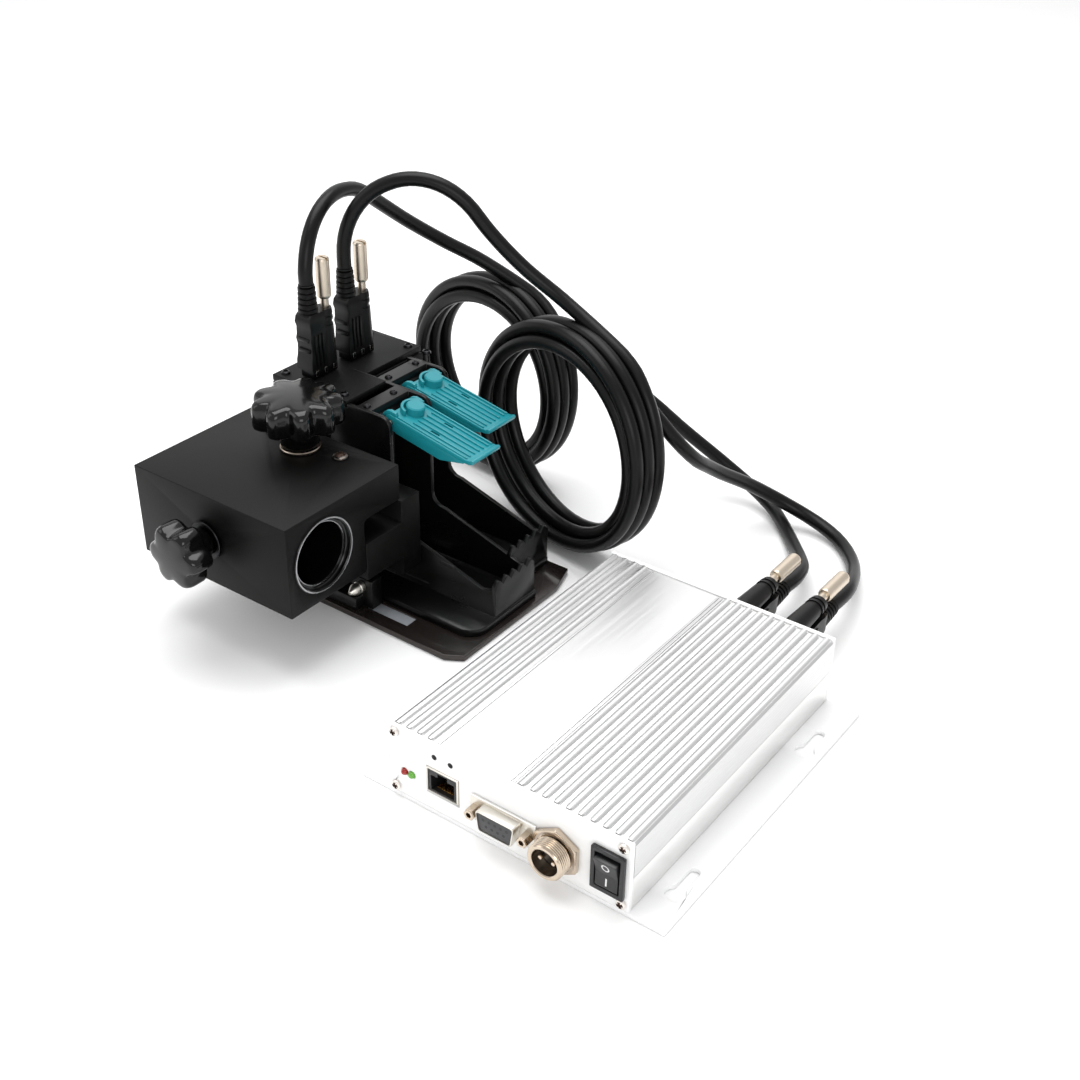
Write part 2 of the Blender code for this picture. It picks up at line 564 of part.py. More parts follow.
def smooth(route, spacing):
    """Evenly spaced points along a smooth curve through the route's points."""
    ends = [route[0] * 2 - route[1]] + route + [route[-1] * 2 - route[-2]]
    fine = []
    for p0, p1, p2, p3 in zip(ends, ends[1:], ends[2:], ends[3:]):
        for n in range(24):
            t = n / 24
            fine.append(0.5 * ((2 * p1) + (p2 - p0) * t + (2 * p0 - 5 * p1 + 4 * p2 - p3) * t * t
                               + (3 * p1 - p0 - 3 * p2 + p3) * t ** 3))
    fine.append(route[-1])
    travelled = [0.0]
    for a, b in zip(fine, fine[1:]):
        travelled.append(travelled[-1] + (b - a).length)
    count = max(2, round(travelled[-1] / spacing))
    points, n = [], 0
    for step in range(count + 1):
        goal = travelled[-1] * step / count
        while n < len(fine) - 2 and travelled[n + 1] < goal:
            n += 1
        share = (goal - travelled[n]) / max(travelled[n + 1] - travelled[n], 1e-9)
        points.append(fine[n].lerp(fine[n + 1], min(1.0, share)))
    return points


def tube(name, points, diameter, look):
    curve = bpy.data.curves.new(name, "CURVE")
    curve.dimensions = "3D"
    curve.bevel_depth = diameter / 2 * MM
    curve.bevel_resolution = 2
    curve.use_fill_caps = True
    spline = curve.splines.new("POLY")
    spline.points.add(len(points) - 1)
    for point, place_mm in zip(spline.points, points):
        point.co = (*(place_mm * MM), 1)
    return place(name, curve, look=look)


# the uncoiled stretches, hand laid: out of a head plug to its coil, and from the coil to the rear
HEAD_ROUTES = {
    "a": [(-215, 48, 163), (-220, 62, 166.5), (-222, 84, 163), (-213, 100, 148)],
    "b": [(-208, 72, 168), (-201, 76, 181), (-185, 86, 189), (-165, 92, 184), (-150, 94, 168),
          (-136, 94, 145)],
}
REAR_ROUTES = {
    "a": [(-112, 160, 86), (-103, 183, 62), (-87, 206, 34), (-66, 224, 12), (-40, 210, 4.2),
          (-14.6, 176, 5)],
    "b": [(-62, 152, 60), (-62, 174, 44), (-57, 204, 28), (-38, 222, 16), (-9, 211, 5),
          (12, 186, 5)],
}
# where each lead meets its coil: (degrees round the coil, distance out, -1 near face or +1 far)
HEAD_JOINS = {"a": (112, 48, -1), "b": (108, 53, -1)}
# straight run before the near face, short on b so that the far latch swings past it
HEAD_RUN_IN = {"a": 22, "b": 12}
REAR_JOINS = {"a": (30, COILS["a"][3] + GAP, 0), "b": (20, 53, 1)}


def coil_join(key, angle, out, side):
    """A point on a coil's face, or on its rim where side is 0, and the way out of it."""
    x, y, swing, radius = COILS[key]
    level = Vector((math.cos(math.radians(swing)), math.sin(math.radians(swing)), 0))
    spoke = level * math.cos(math.radians(angle)) + Vector((0, 0, math.sin(math.radians(angle))))
    away = Vector((-level.y, level.x, 0)) * side if side else spoke
    centre = Vector((x, y, radius + GAP))
    return centre + spoke * out + away * abs(side) * (COIL_T / 2 + 2.6 * GAP), away


def make_cables():
    for key in "ab":
        leave, way = relief_end(f"head_plug_{key}")
        end, off = coil_join(key, *HEAD_JOINS[key])
        lead = [leave, leave + way * 16, *map(Vector, HEAD_ROUTES[key]),
                end + off * HEAD_RUN_IN[key], end + off * 5, end]
        tube(f"cable_{key}_head_lead", smooth(lead, 2.4 * CABLE_D), CABLE_D, rubber)
        leave, way = relief_end(f"rear_plug_{key}")
        end, off = coil_join(key, *REAR_JOINS[key])
        lead = [end, end + off * 19, *map(Vector, REAR_ROUTES[key]), leave + way * 20, leave]
        tube(f"cable_{key}_rear_lead", smooth(lead, 2.4 * CABLE_D), CABLE_D, rubber)
        x, y, swing, outer = COILS[key]
        corner = 4.0
        inner, half = outer - COIL_RING, COIL_T / 2
        profile = [(outer - corner, half), (outer, half - corner), (outer, corner - half),
                   (outer - corner, -half), (inner + corner, -half), (inner, corner - half),
                   (inner, half - corner), (inner + corner, half)]
        stand = Matrix.Rotation(math.radians(swing), 3, "Z") @ Matrix.Rotation(math.radians(90), 3, "X")
        turned(f"cable_{key}_coil", profile, (x, y, outer + GAP), None, rubber, steps=32,
               turn=stand)


# =============================================================================================
# print head
# =============================================================================================
def stall_front(n):
    return STALL_FRONT_X - STAGGER * n


def side_wall(name, y, front_x, back_x, group=None, look=None):
    """A stall's side wall: a low sloping front part and a full-height cheek behind it."""
    cheek = front_x - CHEEK_FRONT
    top = HEAD_TOP - 0.4
    path = [(back_x, FLOOR_Z1 - 1), (front_x, FLOOR_Z1 - 1), (front_x, LOW_FRONT_Z + 2),
            (front_x - 8, LOW_FRONT_Z)]
    path += [(cheek + 8, LOW_BACK_Z - 1)] + arc(cheek + 7, LOW_BACK_Z + 6, 7, 270, 180, 4)
    path += arc(cheek - 5, top - 5, 5, 0, 90, 4) + [(back_x, top)]
    return outline(name, [path], STALL_WALL, (0, y + STALL_WALL / 2, 0), XZ, look, group)


def make_carriage():
    """The two cartridge stalls and their floor, moulded in one piece."""
    back = stall_front(1) - STALL_LEN
    near, far = STALL_Y, FAR_WALL_Y
    front, side = stall_front(0) + 1, near - FLOOR_SIDE
    floor = [(back, side), (front - FLOOR_CORNER, side)]
    floor += arc(front - FLOOR_CORNER, side + FLOOR_CORNER, FLOOR_CORNER, -90, 0, 5)
    floor += [(front, near + STALL_PITCH + STALL_WALL), (stall_front(1) + 1, near + STALL_PITCH
                                                         + STALL_WALL),
              (stall_front(1) + 1, far + STALL_WALL - 1), (back, far + STALL_WALL - 1)]
    windows = []
    for n in (0, 1):
        x = stall_front(n) - STALL_LEN + NOZZLE_BACK
        y = near + STALL_WALL / 2 + STALL_PITCH * (n + 0.5)
        windows.append([(x, y - NOZZLE_W / 2), (x + NOZZLE_L, y - NOZZLE_W / 2),
                        (x + NOZZLE_L, y + NOZZLE_W / 2), (x, y + NOZZLE_W / 2)])
    body = outline("cartridge_carriage", [floor] + windows, FLOOR_T,
                   (0, 0, FLOOR_Z0 + FLOOR_T / 2), None, black_mould)
    walls = [side_wall("wall_near", near, stall_front(0), back, cutters),
             side_wall("wall_middle", near + STALL_PITCH, stall_front(0), back, cutters),
             side_wall("wall_far", far, stall_front(1), back, cutters)]
    for n in (0, 1):
        x1 = stall_front(n)
        y0 = near + STALL_PITCH * n
        y1 = y0 + STALL_PITCH + STALL_WALL
        crown = [(y0, FLOOR_Z1 - 1), (y1, FLOOR_Z1 - 1), (y1, LOW_FRONT_Z + 3)]
        step = (y1 - y0) / TEETH
        for tooth in range(TEETH):
            y = y1 - step * tooth
            crown += [(y - step * 0.4, LOW_FRONT_Z + 3 + TOOTH_H), (y - step * 0.6, LOW_FRONT_Z + 3
                                                                   + TOOTH_H),
                      (y - step, LOW_FRONT_Z + 3)]
        walls.append(outline(f"front_{n}", [crown], STALL_WALL, (x1 - STALL_WALL / 2, 0, 0), YZ,
                             group=cutters))
        contact = x1 - STALL_LEN
        walls.append(block(f"contact_wall_{n}", (contact, y0 + 1, FLOOR_Z1 - 1),
                           (contact + STALL_WALL, y1 - 1, HEAD_TOP - 8), group=cutters))
        hinge_x = x1 - CHEEK_FRONT - PIVOT_IN
        ledge_x = hinge_x - KNUCKLE_D / 2 - LEDGE_GAP
        walls.append(block(f"ledge_{n}", (ledge_x - LEDGE_W, y0 + 1, HEAD_TOP - 0.4 - LEDGE_T),
                           (ledge_x, y1 - 1, HEAD_TOP - 0.4), group=cutters))
    seat = block("lid_seat", (back - 1, near - 1, LID_Z0 - GAP),
                 (stall_front(0) - STALL_LEN - 1, near + STALL_PITCH - GAP, HEAD_TOP + 1),
                 group=cutters)
    join(body, *walls)
    cut(body, seat)


def make_contacts():
    for n, name in enumerate(("contact_pad_near", "contact_pad_far")):
        x = stall_front(n) - STALL_LEN + STALL_WALL + GAP
        y = STALL_Y + STALL_WALL / 2 + STALL_PITCH * (n + 0.5)
        block(name, (x, y - 9, 24), (x + 2.4, y + 9, 58), gold)


def make_latches():
    """Each latch is a moulded lid with side skirts, turning on a steel pin between the cheeks."""
    for n, name in enumerate(("near", "far")):
        x = stall_front(n) - CHEEK_FRONT - PIVOT_IN
        y = STALL_Y + STALL_WALL / 2 + STALL_PITCH * (n + 0.5)
        slope = Matrix.Rotation(math.radians(LATCH_DROP), 3, "Y")
        r = KNUCKLE_D / 2
        side = [(0, r), (LATCH_L - 3, r), (LATCH_L, r + 1.2), (LATCH_L, r - LATCH_T + 1.2),
                (LATCH_L - 5, r - LATCH_T), (LATCH_L * 0.62, r - LATCH_SKIRT), (3, r - LATCH_SKIRT),
                (1.0, -r), (0, -r)] + arc(0, 0, r, 270, 90, 8)[1:-1]
        latch = outline(f"cartridge_latch_{name}", [side], LATCH_W, (x, y, PIVOT_Z), slope @ XZ, teal)
        inner = LATCH_W / 2 - 2.0
        hollow = block(f"latch_hollow_{name}", (r + 1.2, -inner, -20),
                       (LATCH_L - 7, inner, r - LATCH_T), group=cutters, centre=(0, 0, 0))
        hollow.matrix_world = Matrix.Translation(Vector((x, y, PIVOT_Z)) * MM) @ slope.to_4x4()
        bore = rod(f"latch_bore_{name}", (x, y - LATCH_W, PIVOT_Z), PIVOT_D + 2 * GAP, 2 * LATCH_W,
                   "Y", group=cutters, sides=16)
        boss = rod(f"latch_boss_{name}", (0, 0, 0), 9.0, 5.0, "Z", group=cutters, sides=16)
        boss.matrix_world = Matrix.Translation(Vector((x, y, PIVOT_Z)) * MM) @ slope.to_4x4() \
            @ Matrix.Translation(Vector((5.5, 1.0, r - 1)) * MM)
        join(latch, boss)
        cut(latch, hollow, bore)
        span = STALL_PITCH - STALL_WALL - 2 * GAP
        rod(f"latch_pin_{name}", (x, y - span / 2, PIVOT_Z), PIVOT_D, span, "Y", steel, sides=12)


def make_skid():
    (x0, x1), (y0, y1), c = SKID_X, SKID_Y, SKID_CHAMFER
    rim = [(x0, y0), (x1 - c, y0), (x1, y0 + c * 0.6), (x1, y1 - 2 * c), (x1 - c * 0.6, y1),
           (x0, y1)]
    holes = []
    for n in (0, 1):
        x = stall_front(n) - STALL_LEN + NOZZLE_BACK
        y = STALL_Y + STALL_WALL / 2 + STALL_PITCH * (n + 0.5)
        holes.append([(x, y - NOZZLE_W / 2), (x + NOZZLE_L, y - NOZZLE_W / 2),
                      (x + NOZZLE_L, y + NOZZLE_W / 2), (x, y + NOZZLE_W / 2)])
    slot = (-149.0, 8.6, 25.0, 7.4)
    holes.append([(slot[0], slot[1]), (slot[0] + slot[2], slot[1]),
                  (slot[0] + slot[2], slot[1] + slot[3]), (slot[0], slot[1] + slot[3])])
    outline("skid_plate", [rim] + holes, SKID_T, (0, 0, SKID_T / 2), None, bronze_plate)


def make_housing():
    """The electronics compartment behind the stalls: a box stepped like them, under a flat lid."""
    back, far = HOUSING_BACK_X, HOUSING_FAR_Y
    near = STALL_Y
    fronts = [stall_front(n) - STALL_LEN - GAP for n in (0, 1)]
    step_y = STALL_Y + STALL_PITCH - GAP
    front = stall_front(1) - STALL_LEN - GAP
    t = HOUSING_WALL
    rim = [(back, near), (front, near), (front, far), (back, far)]
    inner = [(back + t, near + t), (front - t, near + t), (front - t, far - t), (back + t, far - t)]
    top = LID_Z0 - GAP
    low = FLOOR_Z0
    body = outline("head_housing", [rim, inner], top - low, (0, 0, (top + low) / 2), None, black_metal)
    floor = block("housing_floor", (back + 1, near + 1, low), (front - 1, far - 1, low + t),
                  group=cutters)
    join(body, floor)
    lid_front = fronts[0] - 1
    cover = [(back, near), (lid_front, near), (lid_front, step_y), (lid_front - STAGGER, step_y),
             (lid_front - STAGGER, far), (back, far)]
    outline("housing_lid", [cover], LID_T, (0, 0, LID_Z0 + LID_T / 2), None, black_metal)
    block("head_board", (front - t - 6, near + t + 2, low + t + GAP),
          (front - t - 6 + BOARD_T, far - t - 2, top - 6), board_green)


# =============================================================================================
# mounting clamp
# =============================================================================================
def star(diameter, lobes, dip):
    """A scalloped knob outline: round lobes with rounded hollows between them."""
    count = lobes * 8
    middle = diameter / 2 - dip / 2
    return [((middle + dip / 2 * math.cos(lobes * a)) * math.cos(a),
             (middle + dip / 2 * math.cos(lobes * a)) * math.sin(a))
            for a in (2 * math.pi * n / count for n in range(count))]


def make_arm():
    """The T-shaped arm on the head's side; the clamp block rides up and down on its flat leg."""
    x0, x1 = BLOCK_X
    y0, y1 = NOTCH_Y + RUN_GAP, STALL_Y - GAP
    strip_y = y1 - STRIP_T
    tee = [(y0, ARM_Z[0]), (strip_y, ARM_Z[0]), (strip_y, STRIP_Z[0]), (y1, STRIP_Z[0]),
           (y1, STRIP_Z[1]), (strip_y, STRIP_Z[1]), (strip_y, ARM_Z[1]), (y0, ARM_Z[1])]
    arm = outline("slide_arm", [tee], x1 - x0, ((x0 + x1) / 2, 0, 0), YZ, black_metal)
    bores = [rod(f"arm_bore_{n}", (x, y, ARM_Z[0] - 5), d + 2 * RUN_GAP, ARM_Z[1] - ARM_Z[0] + 10,
                 group=cutters, sides=16)
             for n, (x, y, d) in enumerate(((LIFT_X - PIN_DX, PIN_Y, PIN_D), (LIFT_X, LIFT_Y, STUD_D),
                                            (LIFT_X + PIN_DX, PIN_Y, PIN_D)))]
    cut(arm, *bores)


def make_block():
    (x0, x1), (y0, y1), (z0, z1) = BLOCK_X, BLOCK_Y, BLOCK_Z
    side = [(y0, z0), (NOTCH_Y, z0), (NOTCH_Y, NOTCH_TOP - 2.5)]
    side += arc(NOTCH_Y + 2.5, NOTCH_TOP - 2.5, 2.5, 180, 90, 4)[1:]
    side += [(y1, NOTCH_TOP), (y1, z1), (y0, z1)]
    body = outline("clamp_block", [side, circle(BORE_Y, BORE_Z, BORE_D, 32)], x1 - x0,
                   ((x0 + x1) / 2, 0, 0), YZ, black_metal)
    holes = [rod(f"block_bore_{n}", (x, y, NOTCH_TOP - 5), d + 2 * GAP, z1 - NOTCH_TOP + 10,
                 group=cutters, sides=16)
             for n, (x, y, d) in enumerate(((LIFT_X - PIN_DX, PIN_Y, PIN_D), (LIFT_X, LIFT_Y, STUD_D),
                                            (LIFT_X + PIN_DX, PIN_Y, PIN_D)))]
    grip_hole = rod("block_grip_hole", (GRIP_X, y0 - 5, BORE_Z), STUD_D + 2 * RUN_GAP,
                    BORE_Y - y0 + 5, "Y", group=cutters, sides=16)
    cut(body, *holes, grip_hole)
    liner = turned("bore_liner", [(BORE_D / 2 - GAP, x1 - x0), (BORE_D / 2 - GAP, 0),
                                  (LINER_D / 2, 0), (LINER_D / 2, x1 - x0)][::-1],
                   (x0, BORE_Y, BORE_Z), "X", black_mould, steps=32)
    liner_hole = rod("liner_grip_hole", (GRIP_X, y0 - 5, BORE_Z), STUD_D + 2 * RUN_GAP,
                     BORE_Y - y0 + 5, "Y", group=cutters, sides=16)
    cut(liner, liner_hole)
    # shoulder screws that guide the block on the arm
    for n, name in ((-1, "left"), (1, "right")):
        profile = [(0, 1.6), (PIN_HEAD_D / 2 - 1, 1.6), (PIN_HEAD_D / 2, 0.6), (PIN_HEAD_D / 2, 0),
                   (PIN_D / 2, 0), (PIN_D / 2, ARM_Z[1] - 10 - z1), (0, ARM_Z[1] - 10 - z1)]
        turned(f"guide_screw_{name}", profile, (LIFT_X + n * PIN_DX, PIN_Y, z1 + GAP), "Z", steel,
               steps=16)


def knob(name, at, axis, size, lobes, thick, hub_d, hub_t, look, stud_len):
    """A moulded star knob on a threaded stud, with its origin where the hub meets the washer."""
    turn = TURNS[axis]
    head = outline(name, [star(size, lobes, size * 0.11)], thick,
                   tuple(Vector(at) + turn @ Vector((0, 0, hub_t + thick / 2))), turn, look)
    soften(head, 1.0)
    dome_r = size / 2 - size * 0.13
    profile = [(0, hub_t + thick + size * 0.09), (dome_r * 0.6, hub_t + thick + size * 0.06),
               (dome_r, hub_t + thick - 0.5), (dome_r, hub_t + 0.6), (hub_d / 2, hub_t + 0.6),
               (hub_d / 2 - 0.8, 0), (STUD_D / 2, 0), (STUD_D / 2, -stud_len), (0, -stud_len)]
    core = turned(name + "_core", profile, at, axis, group=cutters, steps=24)
    return join(head, core)


def make_knobs():
    top = BLOCK_Z[1]
    washer_t = 1.4
    turned("height_knob_washer", [(STUD_D / 2 + GAP, washer_t), (STUD_D / 2 + GAP, 0),
                                  (KNOB_HUB_D / 2 + 1.4, 0), (KNOB_HUB_D / 2 + 1.4, washer_t)][::-1],
           (LIFT_X, LIFT_Y, top + GAP), "Z", steel, steps=24)
    knob("height_knob", (LIFT_X, LIFT_Y, top + washer_t + 2 * GAP), "Z", KNOB_D, KNOB_LOBES, KNOB_T,
         KNOB_HUB_D, KNOB_HUB_T, black_mould, top + washer_t + 2 * GAP - ARM_Z[1] + 10)
    near = BLOCK_Y[0]
    turned("clamp_knob_washer", [(STUD_D / 2 + GAP, washer_t), (STUD_D / 2 + GAP, 0),
                                 (GRIP_HUB_D / 2 + 1.0, 0), (GRIP_HUB_D / 2 + 1.0, washer_t)][::-1],
           (GRIP_X, near - GAP, BORE_Z), "-Y", steel, steps=24)
    reach = BORE_Y - LINER_D / 2 - near + washer_t + 2 * GAP - 0.5
    knob("clamp_knob", (GRIP_X, near - washer_t - 2 * GAP, BORE_Z), "-Y", GRIP_D, GRIP_LOBES, GRIP_T,
         GRIP_HUB_D, GRIP_HUB_T, black_mould, reach)


def make_sensor():
    x, y = SENSOR_X, SENSOR_Y
    body = block("sensor_block", (x, y, SKID_T + GAP), (x + SENSOR_W, y + SENSOR_D, SENSOR_H),
                 black_mould)
    foot = block("sensor_foot", (x - 24, y - 5, SKID_T + GAP), (x + SENSOR_W - 6, y + SENSOR_D, 9.6),
                 group=cutters)
    join(body, foot)
    rod("sensor_tip", (x + SENSOR_W / 2, y - GAP, TIP_Z), TIP_D, TIP_L, "-Y", steel, sides=20,
        end_diameter=1.6)


make_base_plate()
make_enclosure()
make_panels()
make_board()
make_leds()
make_jack()
make_serial()
make_power_socket()
make_switch()
for port in PORTS:
    make_port(*port)
make_cables()
make_carriage()
make_contacts()
make_latches()
make_skid()
make_housing()
make_arm()
make_block()
make_knobs()
make_sensor()
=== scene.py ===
"""Date code inkjet printer: a ribbed controller box cabled to a twin-cartridge print head."""
from math import cos, hypot, pi, radians, sin, tan

import bmesh
import bpy
from mathutils import Matrix, Vector


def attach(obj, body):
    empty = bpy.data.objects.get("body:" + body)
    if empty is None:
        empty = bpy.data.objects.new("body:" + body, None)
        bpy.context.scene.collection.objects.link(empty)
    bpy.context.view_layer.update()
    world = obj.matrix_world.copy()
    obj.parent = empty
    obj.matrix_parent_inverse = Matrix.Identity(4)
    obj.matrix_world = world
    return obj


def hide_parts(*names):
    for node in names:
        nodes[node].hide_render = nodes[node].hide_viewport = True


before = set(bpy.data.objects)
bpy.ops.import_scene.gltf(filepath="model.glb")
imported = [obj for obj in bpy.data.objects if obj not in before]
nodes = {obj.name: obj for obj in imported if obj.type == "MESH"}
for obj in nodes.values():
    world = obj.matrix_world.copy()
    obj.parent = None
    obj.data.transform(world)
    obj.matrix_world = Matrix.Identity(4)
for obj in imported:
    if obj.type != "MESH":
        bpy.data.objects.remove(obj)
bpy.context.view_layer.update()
HEAD = "controller_and_head"


# ---- camera ---------------------------------------------------------------------------------
# A 49 mm lens about 65 cm away, looking down over the front panel's right-hand corner.
lens = bpy.data.cameras.new("camera")
lens.lens, lens.sensor_width = 49.35, 36.0
camera = bpy.data.objects.new("camera", lens)
camera.matrix_world = Matrix.Translation((0.25444, -0.41174, 0.40215)) \
    @ Matrix.Rotation(radians(35.784), 4, "Z") \
    @ Matrix.Rotation(radians(90 - 31.966), 4, "X") \
    @ Matrix.Rotation(radians(0.943), 4, "Z")
bpy.context.scene.collection.objects.link(camera)
bpy.context.scene.camera = camera


# ---- studio ---------------------------------------------------------------------------------
# A pale seamless sweep under large soft boxes. One function makes every material's nodes, and
# one turns a paint chart's hex value into the linear colour that the shader wants.
def linear(code):
    parts = [int(code[i:i + 2], 16) / 255 for i in (1, 3, 5)]
    return (*[c / 12.92 if c < 0.04045 else ((c + 0.055) / 1.055) ** 2.4 for c in parts], 1.0)


def add(material, kind, settings=None, **inputs):
    """One node: settings go to its properties or its own sockets, inputs are links into it.
    Sockets that share a name go by number, 6 as a setting and _6 as a link."""
    tree = material.node_tree
    made = tree.nodes.new("ShaderNode" + kind)
    for key, value in (settings or {}).items():
        if isinstance(key, str) and hasattr(made, key):
            setattr(made, key, value)
        else:
            made.inputs[key].default_value = value
    for key, source in inputs.items():
        socket = made.inputs[int(key[1:])] if key[0] == "_" else made.inputs[key]
        tree.links.new(source, socket)
    return made


def blank(name):
    material = bpy.data.materials.new(name)
    material.use_nodes = True
    material.node_tree.nodes.clear()
    return material


def finish_with(material, shader):
    add(material, "OutputMaterial", Surface=shader.outputs["BSDF"])
    return material


# the paper's faint tooth is drawn coarse, about 9 mm on a sheet 8 m wide
SHEET = 8
sweep = blank("paper_sweep")
grain = add(sweep, "TexNoise", {"Scale": 900.0, "Detail": 2.0})
ripple = add(sweep, "Bump", {"Strength": 0.02, "Distance": 0.0002},
             Height=grain.outputs["Fac"])
paper = add(sweep, "BsdfPrincipled", {"Base Color": linear("#fafafa"), "Roughness": 0.75},
            Normal=ripple.outputs["Normal"])
finish_with(sweep, paper)

bpy.ops.mesh.primitive_plane_add(size=SHEET, location=(0, 0, -0.0002))
floor = bpy.context.object
floor.name = "floor"
floor.data.materials.append(sweep)

world = bpy.data.worlds.new("studio")
bpy.context.scene.world = world
world.use_nodes = True
sky = world.node_tree.nodes["Background"].inputs
sky["Color"].default_value, sky["Strength"].default_value = linear("#ffffff"), 0.68


def soft_box(name, at, towards, size, power):
    data = bpy.data.lights.new(name, "AREA")
    data.shape, data.size, data.size_y, data.energy = "RECTANGLE", size[0], size[1], power
    lamp = bpy.data.objects.new(name, data)
    lamp.location = at
    lamp.rotation_euler = (Vector(towards) - Vector(at)).to_track_quat("-Z", "Y").to_euler()
    bpy.context.scene.collection.objects.link(lamp)


soft_box("overhead_box", (-0.25, 0.15, 1.1), (-0.08, 0.05, 0), (1.0, 0.8), 11.0)
soft_box("side_box", (-1.0, -0.7, 0.7), (-0.1, 0, 0.05), (0.6, 0.8), 2.0)
soft_box("front_box", (0.9, -0.9, 0.6), (0, 0, 0.03), (0.8, 0.6), 5.0)
soft_box("back_box", (-0.9, 1.1, 0.85), (-0.12, 0.02, 0.06), (2.0, 1.2), 4.5)
bpy.context.scene.view_settings.view_transform = "Standard"


# ---- cables ---------------------------------------------------------------------------------
# Two 7 mm multicore cables with a satin black PVC jacket. Each rises from its plug on the head,
# is wound five turns into a coil that stands behind it, and runs over the bench to the rear
# of the controller. The jacket is extruded, so it is smooth along its length.
CABLE_D = 0.007


def on_object(name):
    """A new material, and the coordinates in metres that its patterns are drawn in."""
    made = blank(name)
    return made, add(made, "TexCoord").outputs["Object"]


def two_toned(made, hexes, cloud, wear, rough, relief, strength, settings):
    """Joins a finish: cloud mixes its two colours, wear moves its roughness between two values,
    and relief is the pattern that stands up from it."""
    tone = add(made, "Mix",
               {"data_type": "RGBA", 6: linear(hexes[0]), 7: linear(hexes[1])},
               Factor=cloud.outputs["Fac"])
    gloss = add(made, "MapRange", {"To Min": rough[0], "To Max": rough[1]},
                Value=wear.outputs["Fac"])
    bump = add(made, "Bump", {"Strength": strength, "Distance": 0.0001}, Height=relief)
    links = {"Base Color": tone.outputs[2], "Roughness": gloss.outputs["Result"],
             "Normal": bump.outputs["Normal"]}
    return finish_with(made, add(made, "BsdfPrincipled", settings, **links))


def jacket_material(name, hexes, rough):
    """Extruded PVC: an 18 mm mottle in its sheen, and a 0.4 mm grain."""
    made, at = on_object(name)
    mottle = add(made, "TexNoise", {"Scale": 55.0, "Detail": 4.0}, Vector=at)
    fine = add(made, "TexNoise", {"Scale": 2600.0, "Detail": 2.0}, Vector=at)
    return two_toned(made, hexes, mottle, mottle, (rough - 0.06, rough + 0.08),
                     fine.outputs["Fac"], 0.12, {"Specular IOR Level": 0.22})


jacket = jacket_material("satin_pvc_jacket", ("#040404", "#090909"), 0.33)


def smooth_line(points, spacing):
    """Evenly spaced points on a smooth curve through the given ones."""
    steps = 10
    points = [Vector(p) for p in points]
    ends = [points[0] * 2 - points[1]] + points + [points[-1] * 2 - points[-2]]
    fine = []
    for a, b, c, d in zip(ends, ends[1:], ends[2:], ends[3:]):
        for n in range(steps):
            t = n / steps
            fine.append(0.5 * (2 * b + (c - a) * t + (2 * a - 5 * b + 4 * c - d) * t * t
                               + (3 * b - a - 3 * c + d) * t ** 3))
    fine.append(points[-1])
    line, since = [fine[0]], 0.0
    for a, b in zip(fine, fine[1:]):
        since += (b - a).length
        if since >= spacing:
            line.append(b)
            since = 0.0
    line[-1] = fine[-1]
    return line


def relaxed(line, tightest):
    """Eases every bend that is tighter than the cable would lie, and leaves the ends alone."""
    passes, ease = 900, 0.6
    for _ in range(passes):
        for n in range(2, len(line) - 2):
            back, on = line[n] - line[n - 1], line[n + 1] - line[n]
            if back.angle(on) * tightest > on.length:
                line[n] = line[n].lerp((line[n - 1] + line[n + 1]) / 2, ease)
    return line


def flexible(name, line, diameter, material):
    """A round cable along a line of points."""
    data = bpy.data.curves.new(name, "CURVE")
    data.dimensions, data.bevel_depth, data.bevel_resolution = "3D", diameter / 2, 4
    data.use_fill_caps = True
    spline = data.splines.new("POLY")
    spline.points.add(len(line) - 1)
    for point, at in zip(spline.points, line):
        point.co = (*at, 1)
    data.materials.append(material)
    made = bpy.data.objects.new(name, data)
    bpy.context.scene.collection.objects.link(made)
    return made


# each coil: centre, swing in degrees, radius outside, and the turns' start and end angles
COILS = {"a": ((-0.1915, 0.1606), -8.0, 0.056, 62.0, 40.0),
         "b": ((-0.1128, 0.1173), -13.0, 0.061, 58.0, 44.0)}
TURNS, STEP = 5, 15
# the turns change layer over an eighth of their length and lie one jacket further in from there;
# they spread to either side of the middle and wander a little, as turns wound by hand do
CHANGE_AT, CHANGE_OVER, LAYER, SPREAD, WANDER = 0.42, 0.12, 0.0069, 0.0085, 0.0006


def coil_line(key):
    """Outer turns that run forward, then inner ones that run back inside them."""
    (x, y), swing, radius, start, end = COILS[key]
    level = Vector((cos(radians(swing)), sin(radians(swing)), 0))
    across = Vector((-level.y, level.x, 0))
    span = 360 * TURNS + start - end
    line = []
    for n in range(int(span / STEP) + 1):
        angle, share = radians(start - STEP * n), STEP * n / span
        inner = max(0.0, min(1.0, (share - CHANGE_AT) / CHANGE_OVER))
        out = radius - CABLE_D / 2 - WANDER - LAYER * inner * inner * (3 - 2 * inner)
        out += WANDER * sin(2 * angle + 3 * share) - WANDER * cos(3 * angle)
        side = SPREAD * (abs(4 * share - 2) - 1) * (1.15 - 0.1 * cos(angle))
        line.append(Vector((x, y, radius + 0.0003)) + level * out * cos(angle)
                    + Vector((0, 0, 1)) * out * sin(angle) + across * side)
    return line


